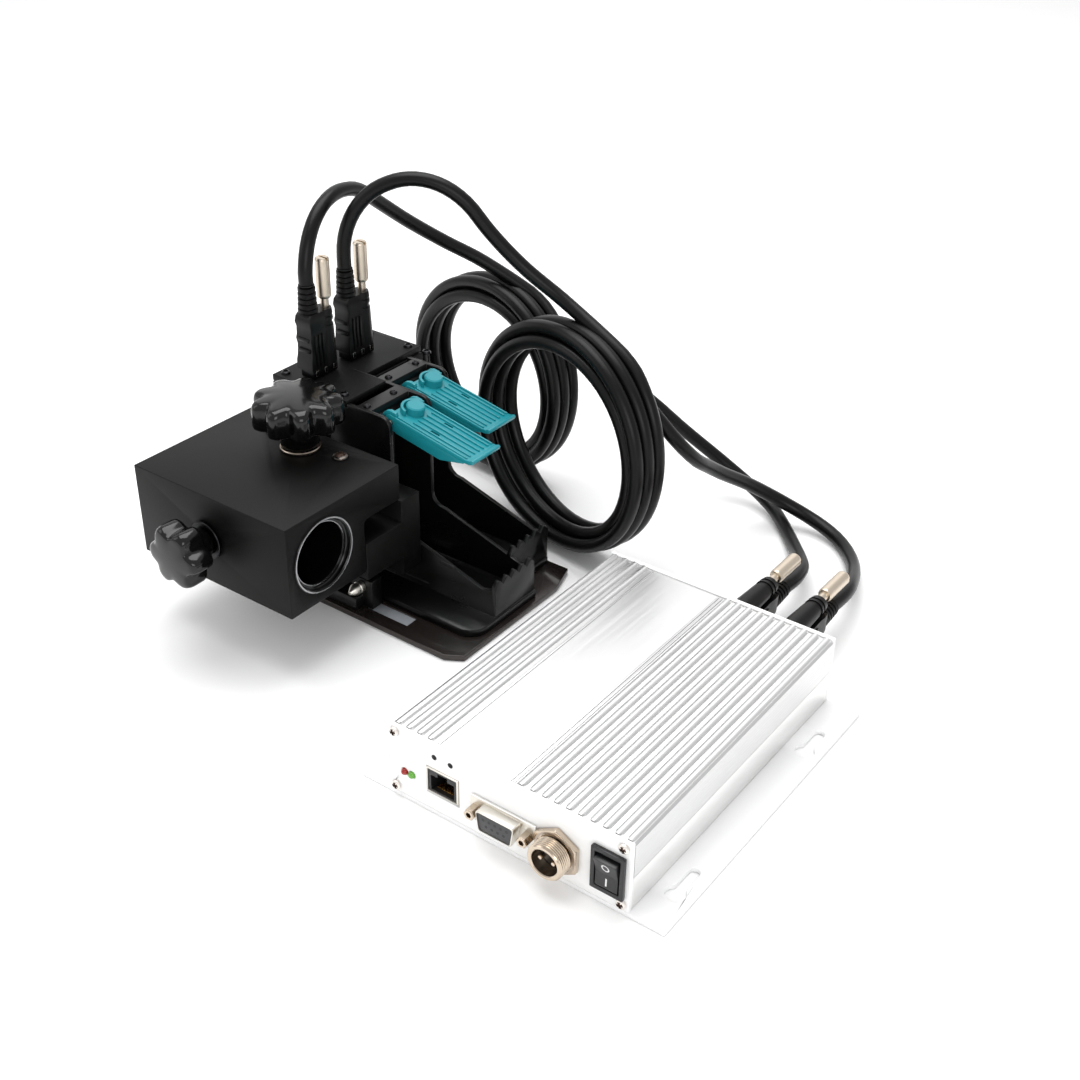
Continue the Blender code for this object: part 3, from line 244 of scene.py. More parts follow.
HEAD_ENDS = {"a": (-0.210, 0.0445, 0.1393), "b": (-0.210, 0.0705, 0.1393)}
REAR_ENDS = {"a": (0.0083, 0.1263, 0.0158), "b": (0.0334, 0.1263, 0.0158)}
HEAD_ROUTES = {
    "a": [(-0.2102, 0.0446, 0.152), (-0.2125, 0.048, 0.172), (-0.2165, 0.064, 0.1815),
          (-0.2190, 0.086, 0.1745), (-0.2195, 0.105, 0.1605), (-0.2160, 0.124, 0.1455),
          (-0.2070, 0.141, 0.1320), (-0.1915, 0.155, 0.1200)],
    "b": [(-0.2100, 0.0705, 0.153), (-0.2090, 0.071, 0.172), (-0.2035, 0.075, 0.190),
          (-0.1900, 0.086, 0.2010), (-0.1745, 0.092, 0.1960), (-0.1620, 0.098, 0.1800),
          (-0.1515, 0.106, 0.1610), (-0.1370, 0.115, 0.1430), (-0.1160, 0.122, 0.1275)]}
REAR_ROUTES = {
    "a": [(-0.112, 0.180, 0.062), (-0.090, 0.196, 0.038), (-0.068, 0.208, 0.018),
          (-0.042, 0.206, 0.0062), (-0.014, 0.180, 0.0048), (0.0078, 0.146, 0.0146)],
    "b": [(-0.056, 0.134, 0.066), (-0.052, 0.160, 0.044), (-0.044, 0.186, 0.026),
          (-0.028, 0.203, 0.011), (-0.004, 0.203, 0.0048), (0.018, 0.182, 0.005),
          (0.0326, 0.146, 0.0146)]}
SPACING, TIGHTEST = 0.004, 0.0305
for key in "ab":
    route = [HEAD_ENDS[key]] + HEAD_ROUTES[key] + coil_line(key) + REAR_ROUTES[key] \
        + [REAR_ENDS[key]]
    line = relaxed(smooth_line(route, SPACING), TIGHTEST)
    cable = flexible(f"cable_{key}", line, CABLE_D, jacket)
    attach(cable, HEAD)
    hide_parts(*[f"cable_{key}_{part}" for part in ("head_lead", "coil", "rear_lead")])


# ---- plugs ----------------------------------------------------------------------------------
# Moulded D-type plugs: a black ABS hood in two lobes, one for the cable and one for the jack
# screw, with finger grips down its edge and a ribbed strain relief that grips the jacket.
def moulded_plastic(name, hexes, rough, grain, depth=0.06, shine=0.5):
    """Injection-moulded plastic: a faint flow mottle, and the spark-eroded grain of its mould."""
    made, at = on_object(name)
    flow = add(made, "TexNoise", {"Scale": 35.0, "Detail": 3.0}, Vector=at)
    spark = add(made, "TexNoise", {"Scale": 1 / grain, "Detail": 1.0}, Vector=at)
    return two_toned(made, hexes, flow, flow, (rough - 0.05, rough + 0.06),
                     spark.outputs["Fac"], depth, {"Specular IOR Level": shine})


hood_black = moulded_plastic("hood_abs", ("#040404", "#090909"), 0.34, 0.0007, 0.06, 0.22)
relief_black = moulded_plastic("relief_pvc", ("#040404", "#080808"), 0.46, 0.0006, 0.06, 0.2)


SHARP = 0.5    # radians between two faces, about 29 degrees


def brick(bm, low, high, edge=0.3, index=0, turn=None):
    """A box with rounded edges, in millimetres."""
    low, high = Vector(low), Vector(high)
    made = bmesh.ops.create_cube(bm, size=1.0)["verts"]
    bmesh.ops.scale(bm, vec=high - low, verts=made)
    bmesh.ops.translate(bm, vec=(low + high) / 2, verts=made)
    return dress(bm, made, edge, index, turn)


def once(things):
    """Each thing once, in the order met."""
    return list(dict.fromkeys(things))


def dress(bm, made, edge, index, turn):
    """Rounds the sharp edges of what was just added, gives it its material and puts it in place."""
    faces = once(f for v in made for f in v.link_faces)
    if edge:
        sharp = [e for e in once(e for f in faces for e in f.edges)
                 if len(e.link_faces) == 2 and e.calc_face_angle(0) > SHARP]
        faces += bmesh.ops.bevel(bm, geom=sharp, offset=edge, segments=2, profile=0.5,
                                 affect="EDGES", clamp_overlap=True)["faces"]
        faces = once(f for f in faces if f.is_valid)
    for face in faces:
        face.material_index = index
    verts = once(v for f in faces for v in f.verts)
    if turn is not None:
        bmesh.ops.transform(bm, matrix=turn, verts=verts)
    return verts


def spin(bm, profile, turn=None, steps=40, index=0, ripple=None):
    """A turned shape: (radius, height) points from the bottom of its axis to the top."""
    rings = []
    for r, z in profile:
        if r < 1e-6:
            rings.append([bm.verts.new((0, 0, z))])
            continue
        ring = []
        for n in range(steps):
            a = 2 * pi * n / steps
            out = r * (ripple(a, r, z) if ripple else 1.0)
            ring.append(bm.verts.new((out * cos(a), out * sin(a), z)))
        rings.append(ring)
    made = []
    for low, high in zip(rings, rings[1:]):
        for n in range(steps):
            m = (n + 1) % steps
            if len(low) == 1 and len(high) > 1:
                made.append(bm.faces.new((low[0], high[m], high[n])))
            elif len(high) == 1 and len(low) > 1:
                made.append(bm.faces.new((low[n], low[m], high[0])))
            elif len(low) > 1:
                made.append(bm.faces.new((low[n], low[m], high[m], high[n])))
    if len(rings[0]) > 1 and len(rings[-1]) > 1 and profile[0] == profile[-1]:
        bmesh.ops.remove_doubles(bm, verts=rings[0] + rings[-1], dist=1e-4)
    return dress(bm, [v for f in made if f.is_valid for v in f.verts], 0, index, turn)


def bar(bm, outline, low, high, turn=None, edge=0.0):
    """A flat outline given a thickness from low to high."""
    bottom = [bm.verts.new((x, y, low)) for x, y in outline]
    top = [bm.verts.new((x, y, high)) for x, y in outline]
    count = len(outline)
    bm.faces.new(bottom[::-1])
    bm.faces.new(top)
    for n in range(count):
        m = (n + 1) % count
        bm.faces.new((bottom[n], bottom[m], top[m], top[n]))
    bmesh.ops.recalc_face_normals(bm, faces=once(f for v in bottom + top for f in v.link_faces))
    return dress(bm, bottom + top, edge, 0, turn)


def piece(name, bm, materials, body=HEAD, stands_for=None, angle=35):
    """A finished piece from a mesh in millimetres, carried by its body."""
    mesh = bpy.data.meshes.new(name)
    bmesh.ops.recalc_face_normals(bm, faces=bm.faces)
    bm.to_mesh(mesh)
    bm.free()
    mesh.transform(Matrix.Scale(0.001, 4))
    mesh.shade_smooth()
    mesh.set_sharp_from_angle(angle=radians(angle))
    for material in materials if isinstance(materials, list) else [materials]:
        mesh.materials.append(material)
    made = bpy.data.objects.new(name, mesh)
    bpy.context.scene.collection.objects.link(made)
    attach(made, body)
    if stands_for:
        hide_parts(stands_for)
    return made


def carve(target, shape, *sizes):
    """Cuts one closed shape out of a piece and keeps only the cut mesh."""
    bm = bmesh.new()
    shape(bm, *sizes)
    tool = piece("tool", bm, target.data.materials[0])
    change = target.modifiers.new("cut", "BOOLEAN")
    change.object, change.solver, change.use_self = tool, "EXACT", True
    tool.hide_render = True
    bpy.context.view_layer.update()
    fresh = bpy.data.meshes.new_from_object(
        target.evaluated_get(bpy.context.evaluated_depsgraph_get()))
    target.modifiers.clear()
    target.data = fresh
    fresh.set_sharp_from_angle(angle=radians(35))
    bpy.data.objects.remove(tool)
    return target


def place(x, y, z, turned=Matrix()):
    return Matrix.Translation((x, y, z)) @ turned


BACKWARD = Matrix(((-1, 0, 0, 0), (0, 0, 1, 0), (0, 1, 0, 0), (0, 0, 0, 1)))
PORTS = {"head_{}_a": place(-210, 49.5, 92.3), "head_{}_b": place(-210, 75.5, 92.3),
         "rear_{}_a": place(8.3, 79.3, 20.8, BACKWARD),
         "rear_{}_b": place(33.4, 79.3, 20.8, BACKWARD)}
plugs = {}
for port, at in PORTS.items():
    bm = bmesh.new()
    # the cable's lobe, waisted in the middle so that finger and thumb can pull it
    lobe = [(4.7, 0.0), (9, 0.0), (12, 0.7), (17, 1.0), (20, 0.4), (22, 0.9), (26, 1.0),
            (28.5, 0.3), (31.2, 0.9), (32.7, 2.2)]
    rings = []
    for z, pinch in lobe:
        rings.append([bm.verts.new(c) for c in
                      [(-5.0 + 0.3 * pinch, -9.7 + pinch, z), (-3.9, -9.8 + pinch, z),
                       (3.9, -9.8 + pinch, z), (5.0 - 0.3 * pinch, -9.7 + pinch, z),
                       (5.3 - 0.3 * pinch, -8.6 + pinch, z), (5.3 - 0.3 * pinch, 0.6, z),
                       (-5.3 + 0.3 * pinch, 0.6, z), (-5.3 + 0.3 * pinch, -8.6 + pinch, z)]])
    for low, high in zip(rings, rings[1:]):
        for n in range(8):
            bm.faces.new((low[n], low[(n + 1) % 8], high[(n + 1) % 8], high[n]))
    bm.faces.new(rings[0][::-1])
    bm.faces.new(rings[-1])
    # the jack screw's lobe, which narrows towards the grip
    for z0, z1, w0, w1 in ((4.7, 24.0, 5.5, 4.7), (24.0, 26.6, 4.2, 4.2), (26.6, 28.2, 4.7, 4.6),
                           (28.2, 29.4, 4.1, 4.1), (29.4, 32.2, 4.6, 4.2)):
        made = bmesh.ops.create_cone(bm, cap_ends=True, segments=24, radius1=w0, radius2=w1,
                                     depth=z1 - z0)["verts"]
        bmesh.ops.translate(bm, vec=(0, 5.2, (z0 + z1) / 2), verts=made)
        bmesh.ops.scale(bm, vec=(1, 0.92, 1), verts=made)
    for low in (13.5, 19.0):
        brick(bm, (-3.8, -9.75, low), (3.8, -8.3, low + 2.2), 0.7)
    for side in (-1, 1):
        for y in (-6.6, -4.2, -1.8):
            brick(bm, (side * 5.35 - 0.35, y - 0.5, 6.5), (side * 5.35 + 0.35, y + 0.5, 22.5), 0.2)
    # strain relief: five rings 2.6 mm apart that grow smaller along the cable
    relief = [(0, 32.0), (4.8, 32.0)]
    for n in range(5):
        z, r = 33.4 + 2.6 * n, 4.7 - 0.14 * n
        relief += [(r - 0.9, z - 0.3), (r, z), (r, z + 1.4), (r - 0.9, z + 1.7)]
    relief += [(3.9, 46.3), (3.55, 46.6), (0, 46.6)]
    spin(bm, relief, place(0, -5, 0), 32, 1)
    bmesh.ops.transform(bm, matrix=at, verts=bm.verts)
    plugs[port] = [piece(port.format("hood"), bm, [hood_black, relief_black],
                         stands_for=port.format("plug"))]


# ---- jack screws and sockets ----------------------------------------------------------------
# Turned brass, nickel plated: a plain grip with a screwdriver slot on a thinner shank. The sockets
# are steel shells darkened as painted shade under the hoods, with bright tin strips down their
# sides as painted glints.
def plated_metal(name, code, rough, pitch, along=(1, 1, 1)):
    """Plated or anodised metal; pitch is that of the marks that its making left, in metres."""
    made, at = on_object(name)
    stretch = add(made, "Mapping", {"Scale": along}, Vector=at)
    marks = add(made, "TexNoise", {"Scale": 1 / pitch, "Detail": 3.0},
                Vector=stretch.outputs["Vector"])
    gloss = add(made, "MapRange", {"To Min": rough - 0.05, "To Max": rough + 0.08},
                Value=marks.outputs["Fac"])
    bump = add(made, "Bump", {"Strength": 0.05, "Distance": 0.0001},
               Height=marks.outputs["Fac"])
    shader = add(made, "BsdfPrincipled", {"Base Color": linear(code), "Metallic": 1.0},
                 Roughness=gloss.outputs["Result"], Normal=bump.outputs["Normal"])
    return finish_with(made, shader)


nickel = plated_metal("nickel_plated_brass", "#cbbcaa", 0.2, 0.0004, (1, 1, 0.1))
satin_nickel = plated_metal("satin_nickel_plate", "#d6c9b8", 0.34, 0.0004, (1, 1, 0.1))
blackened = plated_metal("blackened_steel", "#2a2a2c", 0.30, 0.0008)
tin = plated_metal("tin_plated_steel", "#dedad2", 0.34, 0.001)
gold = plated_metal("gold_flash", "#d9a860", 0.25, 0.001)

for port, at in PORTS.items():
    bm = bmesh.new()
    spin(bm, [(0, 4.9), (2.0, 4.9), (2.0, 36.6), (2.9, 36.7), (3.25, 37.2), (3.25, 37.4),
              (3.4, 37.8), (3.4, 38.2), (3.4, 55.0), (3.4, 55.6), (3.1, 56.2), (2.8, 56.5),
              (2.6, 56.5), (0, 56.5)], place(0, 6.2, 0), 72)
    bmesh.ops.transform(bm, matrix=at, verts=bm.verts)
    body = port.format("thumbscrew")
    screw = piece(port.format("jack_screw"), bm, satin_nickel, body, port.format("thumbscrew"))
    plugs[port].append(carve(screw, brick, (-4.5, 5.6, 55.2), (4.5, 6.8, 60), 0, 0, at))
    # the shell in dark steel is painted shade under the hood; the tin strips at its sides are
    # painted glints
    bm = bmesh.new()
    brick(bm, (-4.1, -8.3, 0), (4.1, 8.3, 4.4), 0.4)
    for y in (-6.0, 0.0, 6.0):
        brick(bm, (4.0, y - 0.9, 1.4), (4.5, y + 0.9, 4.2), 0.15, 1)
        brick(bm, (-4.5, y - 0.9, 1.4), (-4.0, y + 0.9, 4.2), 0.15, 1)
    bmesh.ops.transform(bm, matrix=at, verts=bm.verts)
    piece(port.format("port_shell"), bm, [blackened, tin], stands_for=port.format("socket"))


# ---- base plate and end panels --------------------------------------------------------------
# Folded and punched 2 mm steel with a white polyester powder coat, which leaves a soft orange
# peel and slightly rounded edges. The plate's keyholes drop over wall screws.
def powder_coat(name, hexes, rough, cell):
    made, at = on_object(name)
    peel = add(made, "TexNoise", {"Scale": 1 / cell, "Detail": 2.0}, Vector=at)
    cloud = add(made, "TexNoise", {"Scale": 14.0, "Detail": 4.0}, Vector=at)
    return two_toned(made, hexes, cloud, cloud, (rough - 0.05, rough + 0.07),
                     peel.outputs["Fac"], 0.14, {"Specular IOR Level": 0.5})


white_powder = powder_coat("white_powder_coat", ("#f1f1f1", "#f8f8f7"), 0.42, 0.0012)
plate_powder = powder_coat("plate_powder_coat", ("#ededee", "#f5f5f5"), 0.38, 0.0012)


def finish_node(name, material, edge):
    """Gives a CAD part its finish and breaks its edges as the real ones are."""
    part = nodes[name]
    part.data.materials.clear()
    part.data.materials.append(material)
    weld = part.modifiers.new("weld", "WELD")
    weld.merge_threshold = 0.00001
    soft = part.modifiers.new("soft_edges", "BEVEL")
    soft.width, soft.segments, soft.limit_method = edge / 1000, 2, "ANGLE"
    soft.angle_limit, soft.harden_normals = radians(40), False
    part.data.shade_smooth()
    part.data.set_sharp_from_angle(angle=radians(38))


finish_node("controller_base_plate", plate_powder, 0.3)
finish_node("front_end_panel", white_powder, 0.2)
finish_node("rear_end_panel", white_powder, 0.2)


# ---- enclosure ------------------------------------------------------------------------------
# Two lengths of extruded aluminium, clear anodised. The die leaves the roof's ribs with rounded
# crests, and the saw cut's ends are milled back so that each rib ends in a scallop.
def extrusion(name, code, groove=0.0):
    """Anodised extrusion: fine die lines along its length, and grooves on its sides if given."""
    made, at = on_object(name)
    drawn = add(made, "Mapping", {"Scale": (1, 0.02, 1)}, Vector=at)
    lines = add(made, "TexNoise", {"Scale": 900.0, "Detail": 3.0},
                Vector=drawn.outputs["Vector"])
    gloss = add(made, "MapRange", {"To Min": 0.30, "To Max": 0.46},
                Value=lines.outputs["Fac"])
    normal = add(made, "Bump", {"Strength": 0.10, "Distance": 0.0001},
                 Height=lines.outputs["Fac"])
    if groove:
        # a wave texture of scale 1 has 3.2 bands to the metre
        upright = add(made, "TexWave",
                      {"bands_direction": "Z", "Scale": 1 / groove / 3.2, "Distortion": 0.0},
                      Vector=at)
        where = add(made, "NewGeometry")
        split = add(made, "SeparateXYZ", Vector=where.outputs["Normal"])
        side = add(made, "Math", {"operation": "ABSOLUTE"}, _0=split.outputs["X"])
        only = add(made, "Math", {"operation": "GREATER_THAN", 1: 0.9},
                   _0=side.outputs[0])
        ridge = add(made, "Math", {"operation": "MULTIPLY"}, _0=upright.outputs["Fac"],
                    _1=only.outputs[0])
        normal = add(made, "Bump", {"Strength": 0.25, "Distance": 0.0003},
                     Height=ridge.outputs[0], Normal=normal.outputs["Normal"])
    shader = add(made, "BsdfPrincipled", {"Base Color": linear(code), "Metallic": 1.0},
                 Roughness=gloss.outputs["Result"], Normal=normal.outputs["Normal"])
    return finish_with(made, shader)


roof_metal = extrusion("clear_anodised_grooved", "#dedede", 0.0016)
tray_metal = extrusion("clear_anodised_plain", "#ececeb")
HALF_W, ROOF, CREST, SEAM, SHELL_ENDS = 57.0, 34.1, 35.3, 17.96, (-76.7, 76.7)
LAST_RIB, PITCH = 54.3, 5.4
ribs = [-LAST_RIB + PITCH * n for n in range(4)] + [LAST_RIB - PITCH * n for n in range(10)]
outline = [(-HALF_W, SEAM), (-HALF_W, ROOF - 0.8), (-HALF_W + 0.8, ROOF)]
for x in sorted(ribs):
    outline += [(x - 1.7, ROOF), (x - 1.6, ROOF + 0.45), (x - 1.2, ROOF + 0.85),
                (x - 0.6, CREST - 0.08), (x, CREST), (x + 0.6, CREST - 0.08),
                (x + 1.2, ROOF + 0.85), (x + 1.6, ROOF + 0.45), (x + 1.7, ROOF)]
outline = [p for n, p in enumerate(outline)
           if n < 2 or abs(p[0] - outline[n - 1][0]) + abs(p[1] - outline[n - 1][1]) > 0.05]
outline += [(HALF_W, ROOF - 0.8), (HALF_W, SEAM), (55.2, SEAM), (55.2, 28.9), (50.6, 28.9),
            (50.6, 32.3), (-50.6, 32.3), (-50.6, 28.9), (-55.2, 28.9), (-55.2, SEAM)]
UPRIGHT = Matrix(((1, 0, 0, 0), (0, 0, 1, 0), (0, 1, 0, 0), (0, 0, 0, 1)))
bm = bmesh.new()
bar(bm, outline, SHELL_ENDS[0], SHELL_ENDS[1], UPRIGHT)
roof = piece("enclosure_roof", bm, roof_metal, stands_for="enclosure_upper_shell")


def scallops(bm):
    """The ball-nosed cutter's path, between each rib and the next at both ends."""
    for x in ribs:
        for y in SHELL_ENDS:
            spin(bm, [(0, -2), (1.9, -2), (1.9, 0.0), (0.0, 0.0)],
                 place(x + PITCH / 2, y, CREST + 0.3), 16)
    bmesh.ops.translate(bm, vec=(0, 0, 0.7), verts=bm.verts)


carve(roof, scallops)
finish_node("enclosure_lower_shell", tray_metal, 0.2)

# fine beads at the edges of the flat band, two of them at its right
bm = bmesh.new()
for x in (-33.6, 0.9, 2.6):
    brick(bm, (x - 0.5, SHELL_ENDS[0] + 0.5, ROOF - 0.05),
          (x + 0.5, SHELL_ENDS[1] - 0.5, ROOF + 0.45), 0.2)
piece("roof_band_lines", bm, roof_metal)


# ---- corner screws --------------------------------------------------------------------------
# M2.5 pan heads in zinc-plated steel, that pull the panel onto the extrusion's screw bosses. The
# floor and walls of the cross recess get a dark brown metal: painted shade.
zinc = plated_metal("zinc_plated_steel", "#b3a699", 0.30, 0.0008)
bright_zinc = plated_metal("bright_zinc_plate", "#efe9e3", 0.42, 0.0008)
# the dark brown of the cross recesses is painted shade
shadowed = plated_metal("painted_recess_shade", "#6a5850", 0.55, 0.0008)
OUTWARD = Matrix(((1, 0, 0, 0), (0, 0, -1, 0), (0, 1, 0, 0), (0, 0, 0, 1)))


def cross_head(name, at, head, shaft, long, body, node, tall, metal):
    """A pan-head screw with a cross recess, standing on its seat at the origin of `at`."""
    r = head / 2
    rise = [(r, 0), (r, 0.25 * tall), (0.93 * r, 0.6 * tall), (0.7 * r, 0.88 * tall),
            (0.35 * r, tall), (0, tall)]
    bm = bmesh.new()
    spin(bm, [(0, -long), (shaft / 2, -long), (shaft / 2, 0)] + rise, at, 28)
    screw = piece(name, bm, metal, body, node)
    for turn in (20, 110):
        carve(screw, brick, (-0.62 * r, -0.13 * head, 0.42 * tall),
              (0.62 * r, 0.13 * head, tall + 1), 0, 0,
              at @ Matrix.Rotation(radians(turn), 4, "Z"))
    # the recess's floor and walls take the dark brown metal: painted shade in the recess
    screw.data.materials.append(shadowed)
    back = at.inverted()
    for face in screw.data.polygons:
        middle = back @ (face.center * 1000)
        if 0.3 * tall < middle.z < 0.9 * tall and hypot(middle.x, middle.y) < 0.66 * r:
            face.material_index = 1


for high, z in (("upper", 32.4), ("lower", 5.2)):
    for side, x in (("left", -53.8), ("right", 53.8)):
        cross_head(f"panel_screw_{high}_{side}", place(x, -79.3, z, OUTWARD), 4.4, 2.6, 9.0, HEAD,
                   f"front_panel_screw_{high}_{side}", 1.2, bright_zinc)


# ---- indicator lamps and network port -------------------------------------------------------
# Two 3 mm lamps in tinted epoxy, and a shielded 8-way modular jack: a folded tin-plated can
# round a black moulding, with eight gold spring wires.
def tinted_epoxy(name, code, glow):
    made, at = on_object(name)
    haze = add(made, "TexNoise", {"Scale": 700.0, "Detail": 2.0}, Vector=at)
    gloss = add(made, "MapRange", {"To Min": 0.08, "To Max": 0.16},
                Value=haze.outputs["Fac"])
    shader = add(made, "BsdfPrincipled",
                 {"Base Color": linear(code), "IOR": 1.55, "Emission Color": linear(code),
                  "Emission Strength": glow, "Subsurface Weight": 0.2},
                 Roughness=gloss.outputs["Result"])
    return finish_with(made, shader)


for name, x, code in (("red", -49.3, "#8e1c16"), ("green", -45.6, "#5c9c36")):
    bm = bmesh.new()
    dome = [(1.5 * cos(radians(a)), 0.15 + 1.5 * sin(radians(a)))
            for a in (0, 20, 40, 60, 78)]
    spin(bm, [(0, -31), (0.5, -31), (0.5, -2.4), (1.5, -2.3)] + dome + [(0, 1.65)],
         place(x, -79, 14.2, OUTWARD), 28)
    piece(f"lamp_{name}", bm, tinted_epoxy(f"{name}_epoxy", code, 0.12),
          stands_for=f"status_led_{name}")

port_black = moulded_plastic("port_pbt", ("#141415", "#1b1b1c"), 0.42, 0.0006)
bm = bmesh.new()
brick(bm, (-38, -79.4, 10.95), (-22, -58, 23.2), 0.5)
jack = piece("network_port_can", bm, tin, stands_for="ethernet_jack")
carve(jack, brick, (-37.2, -81, 11.6), (-22.8, -62, 22.5), 0.2)
bm = bmesh.new()
brick(bm, (-37.15, -79.1, 11.65), (-22.85, -62.1, 22.45), 0.15)
insert = piece("network_port_insert", bm, port_black)
carve(insert, brick, (-35.8, -81, 12.4), (-24.2, -66, 19.6), 0)
carve(insert, brick, (-32.4, -81, 19.0), (-27.6, -68, 21.4), 0)
FIRST_WIRE, WIRE_PITCH = -33.57, 1.02
bm = bmesh.new()
for n in range(8):
    x = FIRST_WIRE + WIRE_PITCH * n
    brick(bm, (x - 0.22, -77.6, 13.0), (x + 0.22, -67.5, 13.4), 0.08)
    brick(bm, (x - 0.22, -76.9, 12.4), (x + 0.22, -76.3, 13.1), 0.08)
piece("network_port_wires", bm, gold)

# two pierced holes above the jack, each shown as a black dished plug: painted shade inside the
# holes
bm = bmesh.new()
for x in (-33.9, -25.9):
    spin(bm, [(0, -2.2), (0.85, -2.2), (0.85, 0.02), (1.2, 0.02), (1.2, 0.12), (1.0, 0.16),
              (0.6, -0.4), (0, -0.5)], place(x, -79, 29.1, OUTWARD), 20)
piece("hole_shade_plugs", bm, port_black)


# ---- serial port ----------------------------------------------------------------------------
# A 9-way D connector: a drawn, tin-plated shell on its flange, a grey moulding that holds the
# sockets in two rows, and hexagon jack posts at both sides.
def d_outline(w, h):
    """The D's outline from its half width and half height."""
    lean = r = 1.0
    return [(-w + lean + r, -h), (w - lean - r, -h), (w - lean - 0.3 * r, -h + 0.3 * r),
            (w - lean, -h + r), (w, h - r), (w - 0.3 * r, h - 0.3 * r), (w - r, h), (-w + r, h),
            (-w + 0.3 * r, h - 0.3 * r), (-w, h - r), (-w + lean, -h + r),
            (-w + lean + 0.3 * r, -h + 0.3 * r)]


serial_at = place(0, -79.3, 15.6, OUTWARD)
bm = bmesh.new()
brick(bm, (-15.5, -6.2, 0), (15.5, 6.2, 1.0), 0.35, 1)
bar(bm, d_outline(9, 4.8), 0.9, 6.0, None, 0.35)
bmesh.ops.transform(bm, matrix=serial_at, verts=bm.verts)
shell = piece("serial_port_shell", bm, [tin, white_powder],
              stands_for="serial_connector")
carve(shell, bar, d_outline(8.5, 4.3), 0.2, 7, serial_at)
SOCKET_PITCH = 2.77
bm = bmesh.new()
bar(bm, d_outline(8.45, 4.25), 0.25, 5.5, serial_at, 0.1)
# the nine sockets are small black discs flush with the insert's face: painted shade in their holes
for row, count in ((1.4, 5), (-1.4, 4)):
    for n in range(count):
        x = SOCKET_PITCH * (n - (count - 1) / 2)
        spin(bm, [(0, 5.3), (0.68, 5.3), (0.68, 5.53), (0, 5.53)], serial_at @ place(x, row, 0),
             16, 1)
port_grey = moulded_plastic("port_pbt_grey", ("#38383a", "#414143"), 0.45, 0.0006)
piece("serial_port_insert", bm, [port_grey, port_black])
for side in (-1, 1):
    bm = bmesh.new()
    post = serial_at @ place(side * 12.5, 0, 1.0)
    spin(bm, [(2.6, 0), (2.6, 4.2), (2.3, 4.7), (1.3, 4.7), (1.3, 1.2), (0, 1.2), (0, 0), (2.6, 0)],
         post, 6)
    piece(f"serial_post_{'left' if side < 0 else 'right'}", bm, nickel, angle=20)


# ---- power inlet ----------------------------------------------------------------------------
# A 16 mm round two-pin socket: a turned brass barrel with a coupling thread, nickel plated, a
# black Bakelite disc with two plated pins, and the hexagon nut that clamps it to the panel.
power_at = place(25.4, -79, 15.6, OUTWARD)
THREAD_START, THREAD_PITCH = 3.3, 0.95
thread = []
for n in range(6):
    z = THREAD_START + THREAD_PITCH * n
    thread += [(7.55, z), (8.0, z + 0.35), (8.0, z + 0.55), (7.55, z + 0.9)]
bm = bmesh.new()
spin(bm, [(0, -16), (6.5, -16), (6.5, -5), (8.8, -5), (8.8, -2.3), (6.7, -2.3), (6.7, 3.0),
          (7.4, 3.0)] + thread + [(7.7, 9.1), (7.3, 9.5), (6.2, 9.5), (5.8, 9.2), (5.8, 1.6),
                                 (0, 1.6)], power_at, 56)
piece("power_inlet_barrel", bm, nickel, stands_for="power_socket")
bakelite = moulded_plastic("inlet_bakelite", ("#080606", "#0f0c0b"), 0.35, 0.0006)
bm = bmesh.new()
spin(bm, [(0, 1.7), (5.7, 1.7), (5.7, 3.3), (5.4, 3.6), (0, 3.6)], power_at, 40)
brick(bm, (-0.8, 4.4, 3.4), (0.8, 5.7, 8.4), 0.2, 0, power_at)
for x in (-3, 3):
    spin(bm, [(0, 3.5), (1.1, 3.5), (1.1, 7.2), (0.8, 7.8), (0, 8.0)],
         power_at @ place(x, 0, 0), 20, 1)
piece("power_inlet_insert", bm, [bakelite, nickel])
bm = bmesh.new()
ACROSS_FLATS = 19.0
corner = ACROSS_FLATS / 2 / cos(radians(30))
hexagon = [(corner * cos(a), corner * sin(a))
           for a in (radians(30 + 60 * n) for n in range(6))]
bar(bm, hexagon, 0.3, 2.7, power_at, 0.35)
nut = piece("power_inlet_nut", bm, nickel, stands_for="power_socket_nut", angle=20)
carve(nut, spin, [(0, -1), (7.2, -1), (7.2, 4), (0, 4)], power_at, 40)
bm = bmesh.new()
spin(bm, [(8.35, 2.7), (9.2, 2.7), (9.2, 3.0), (8.35, 3.0), (8.35, 2.7)], power_at, 48)
piece("power_inlet_spring_washer", bm, zinc)


# ---- power switch ---------------------------------------------------------------------------
# A snap-in rocker switch in black nylon. The rocker is a shallow V that tips on its middle, with
# I and O pad-printed in white on its two faces.
switch_black = moulded_plastic("switch_nylon", ("#141416", "#1d1d1f"), 0.33, 0.0007)
finish_node("switch_bezel", switch_black, 0.35)
print_white = moulded_plastic("pad_print_white", ("#d8d8d8", "#e6e6e6"), 0.5, 0.0005, 0.02)
# across the rocker is x, up its face is y, and z points out of the panel
TIP = radians(7)
rocker_at = place(48, -76.8, 18.1, OUTWARD @ Matrix.Rotation(TIP, 4, "X"))
half, rise = 7.7, tan(TIP)


def rocker_face(y):
    """How far the face stands out of the pivot, at a height up the rocker."""
    return 4.2 + abs(y) * rise + 0.25 * (abs(y) / half) ** 2


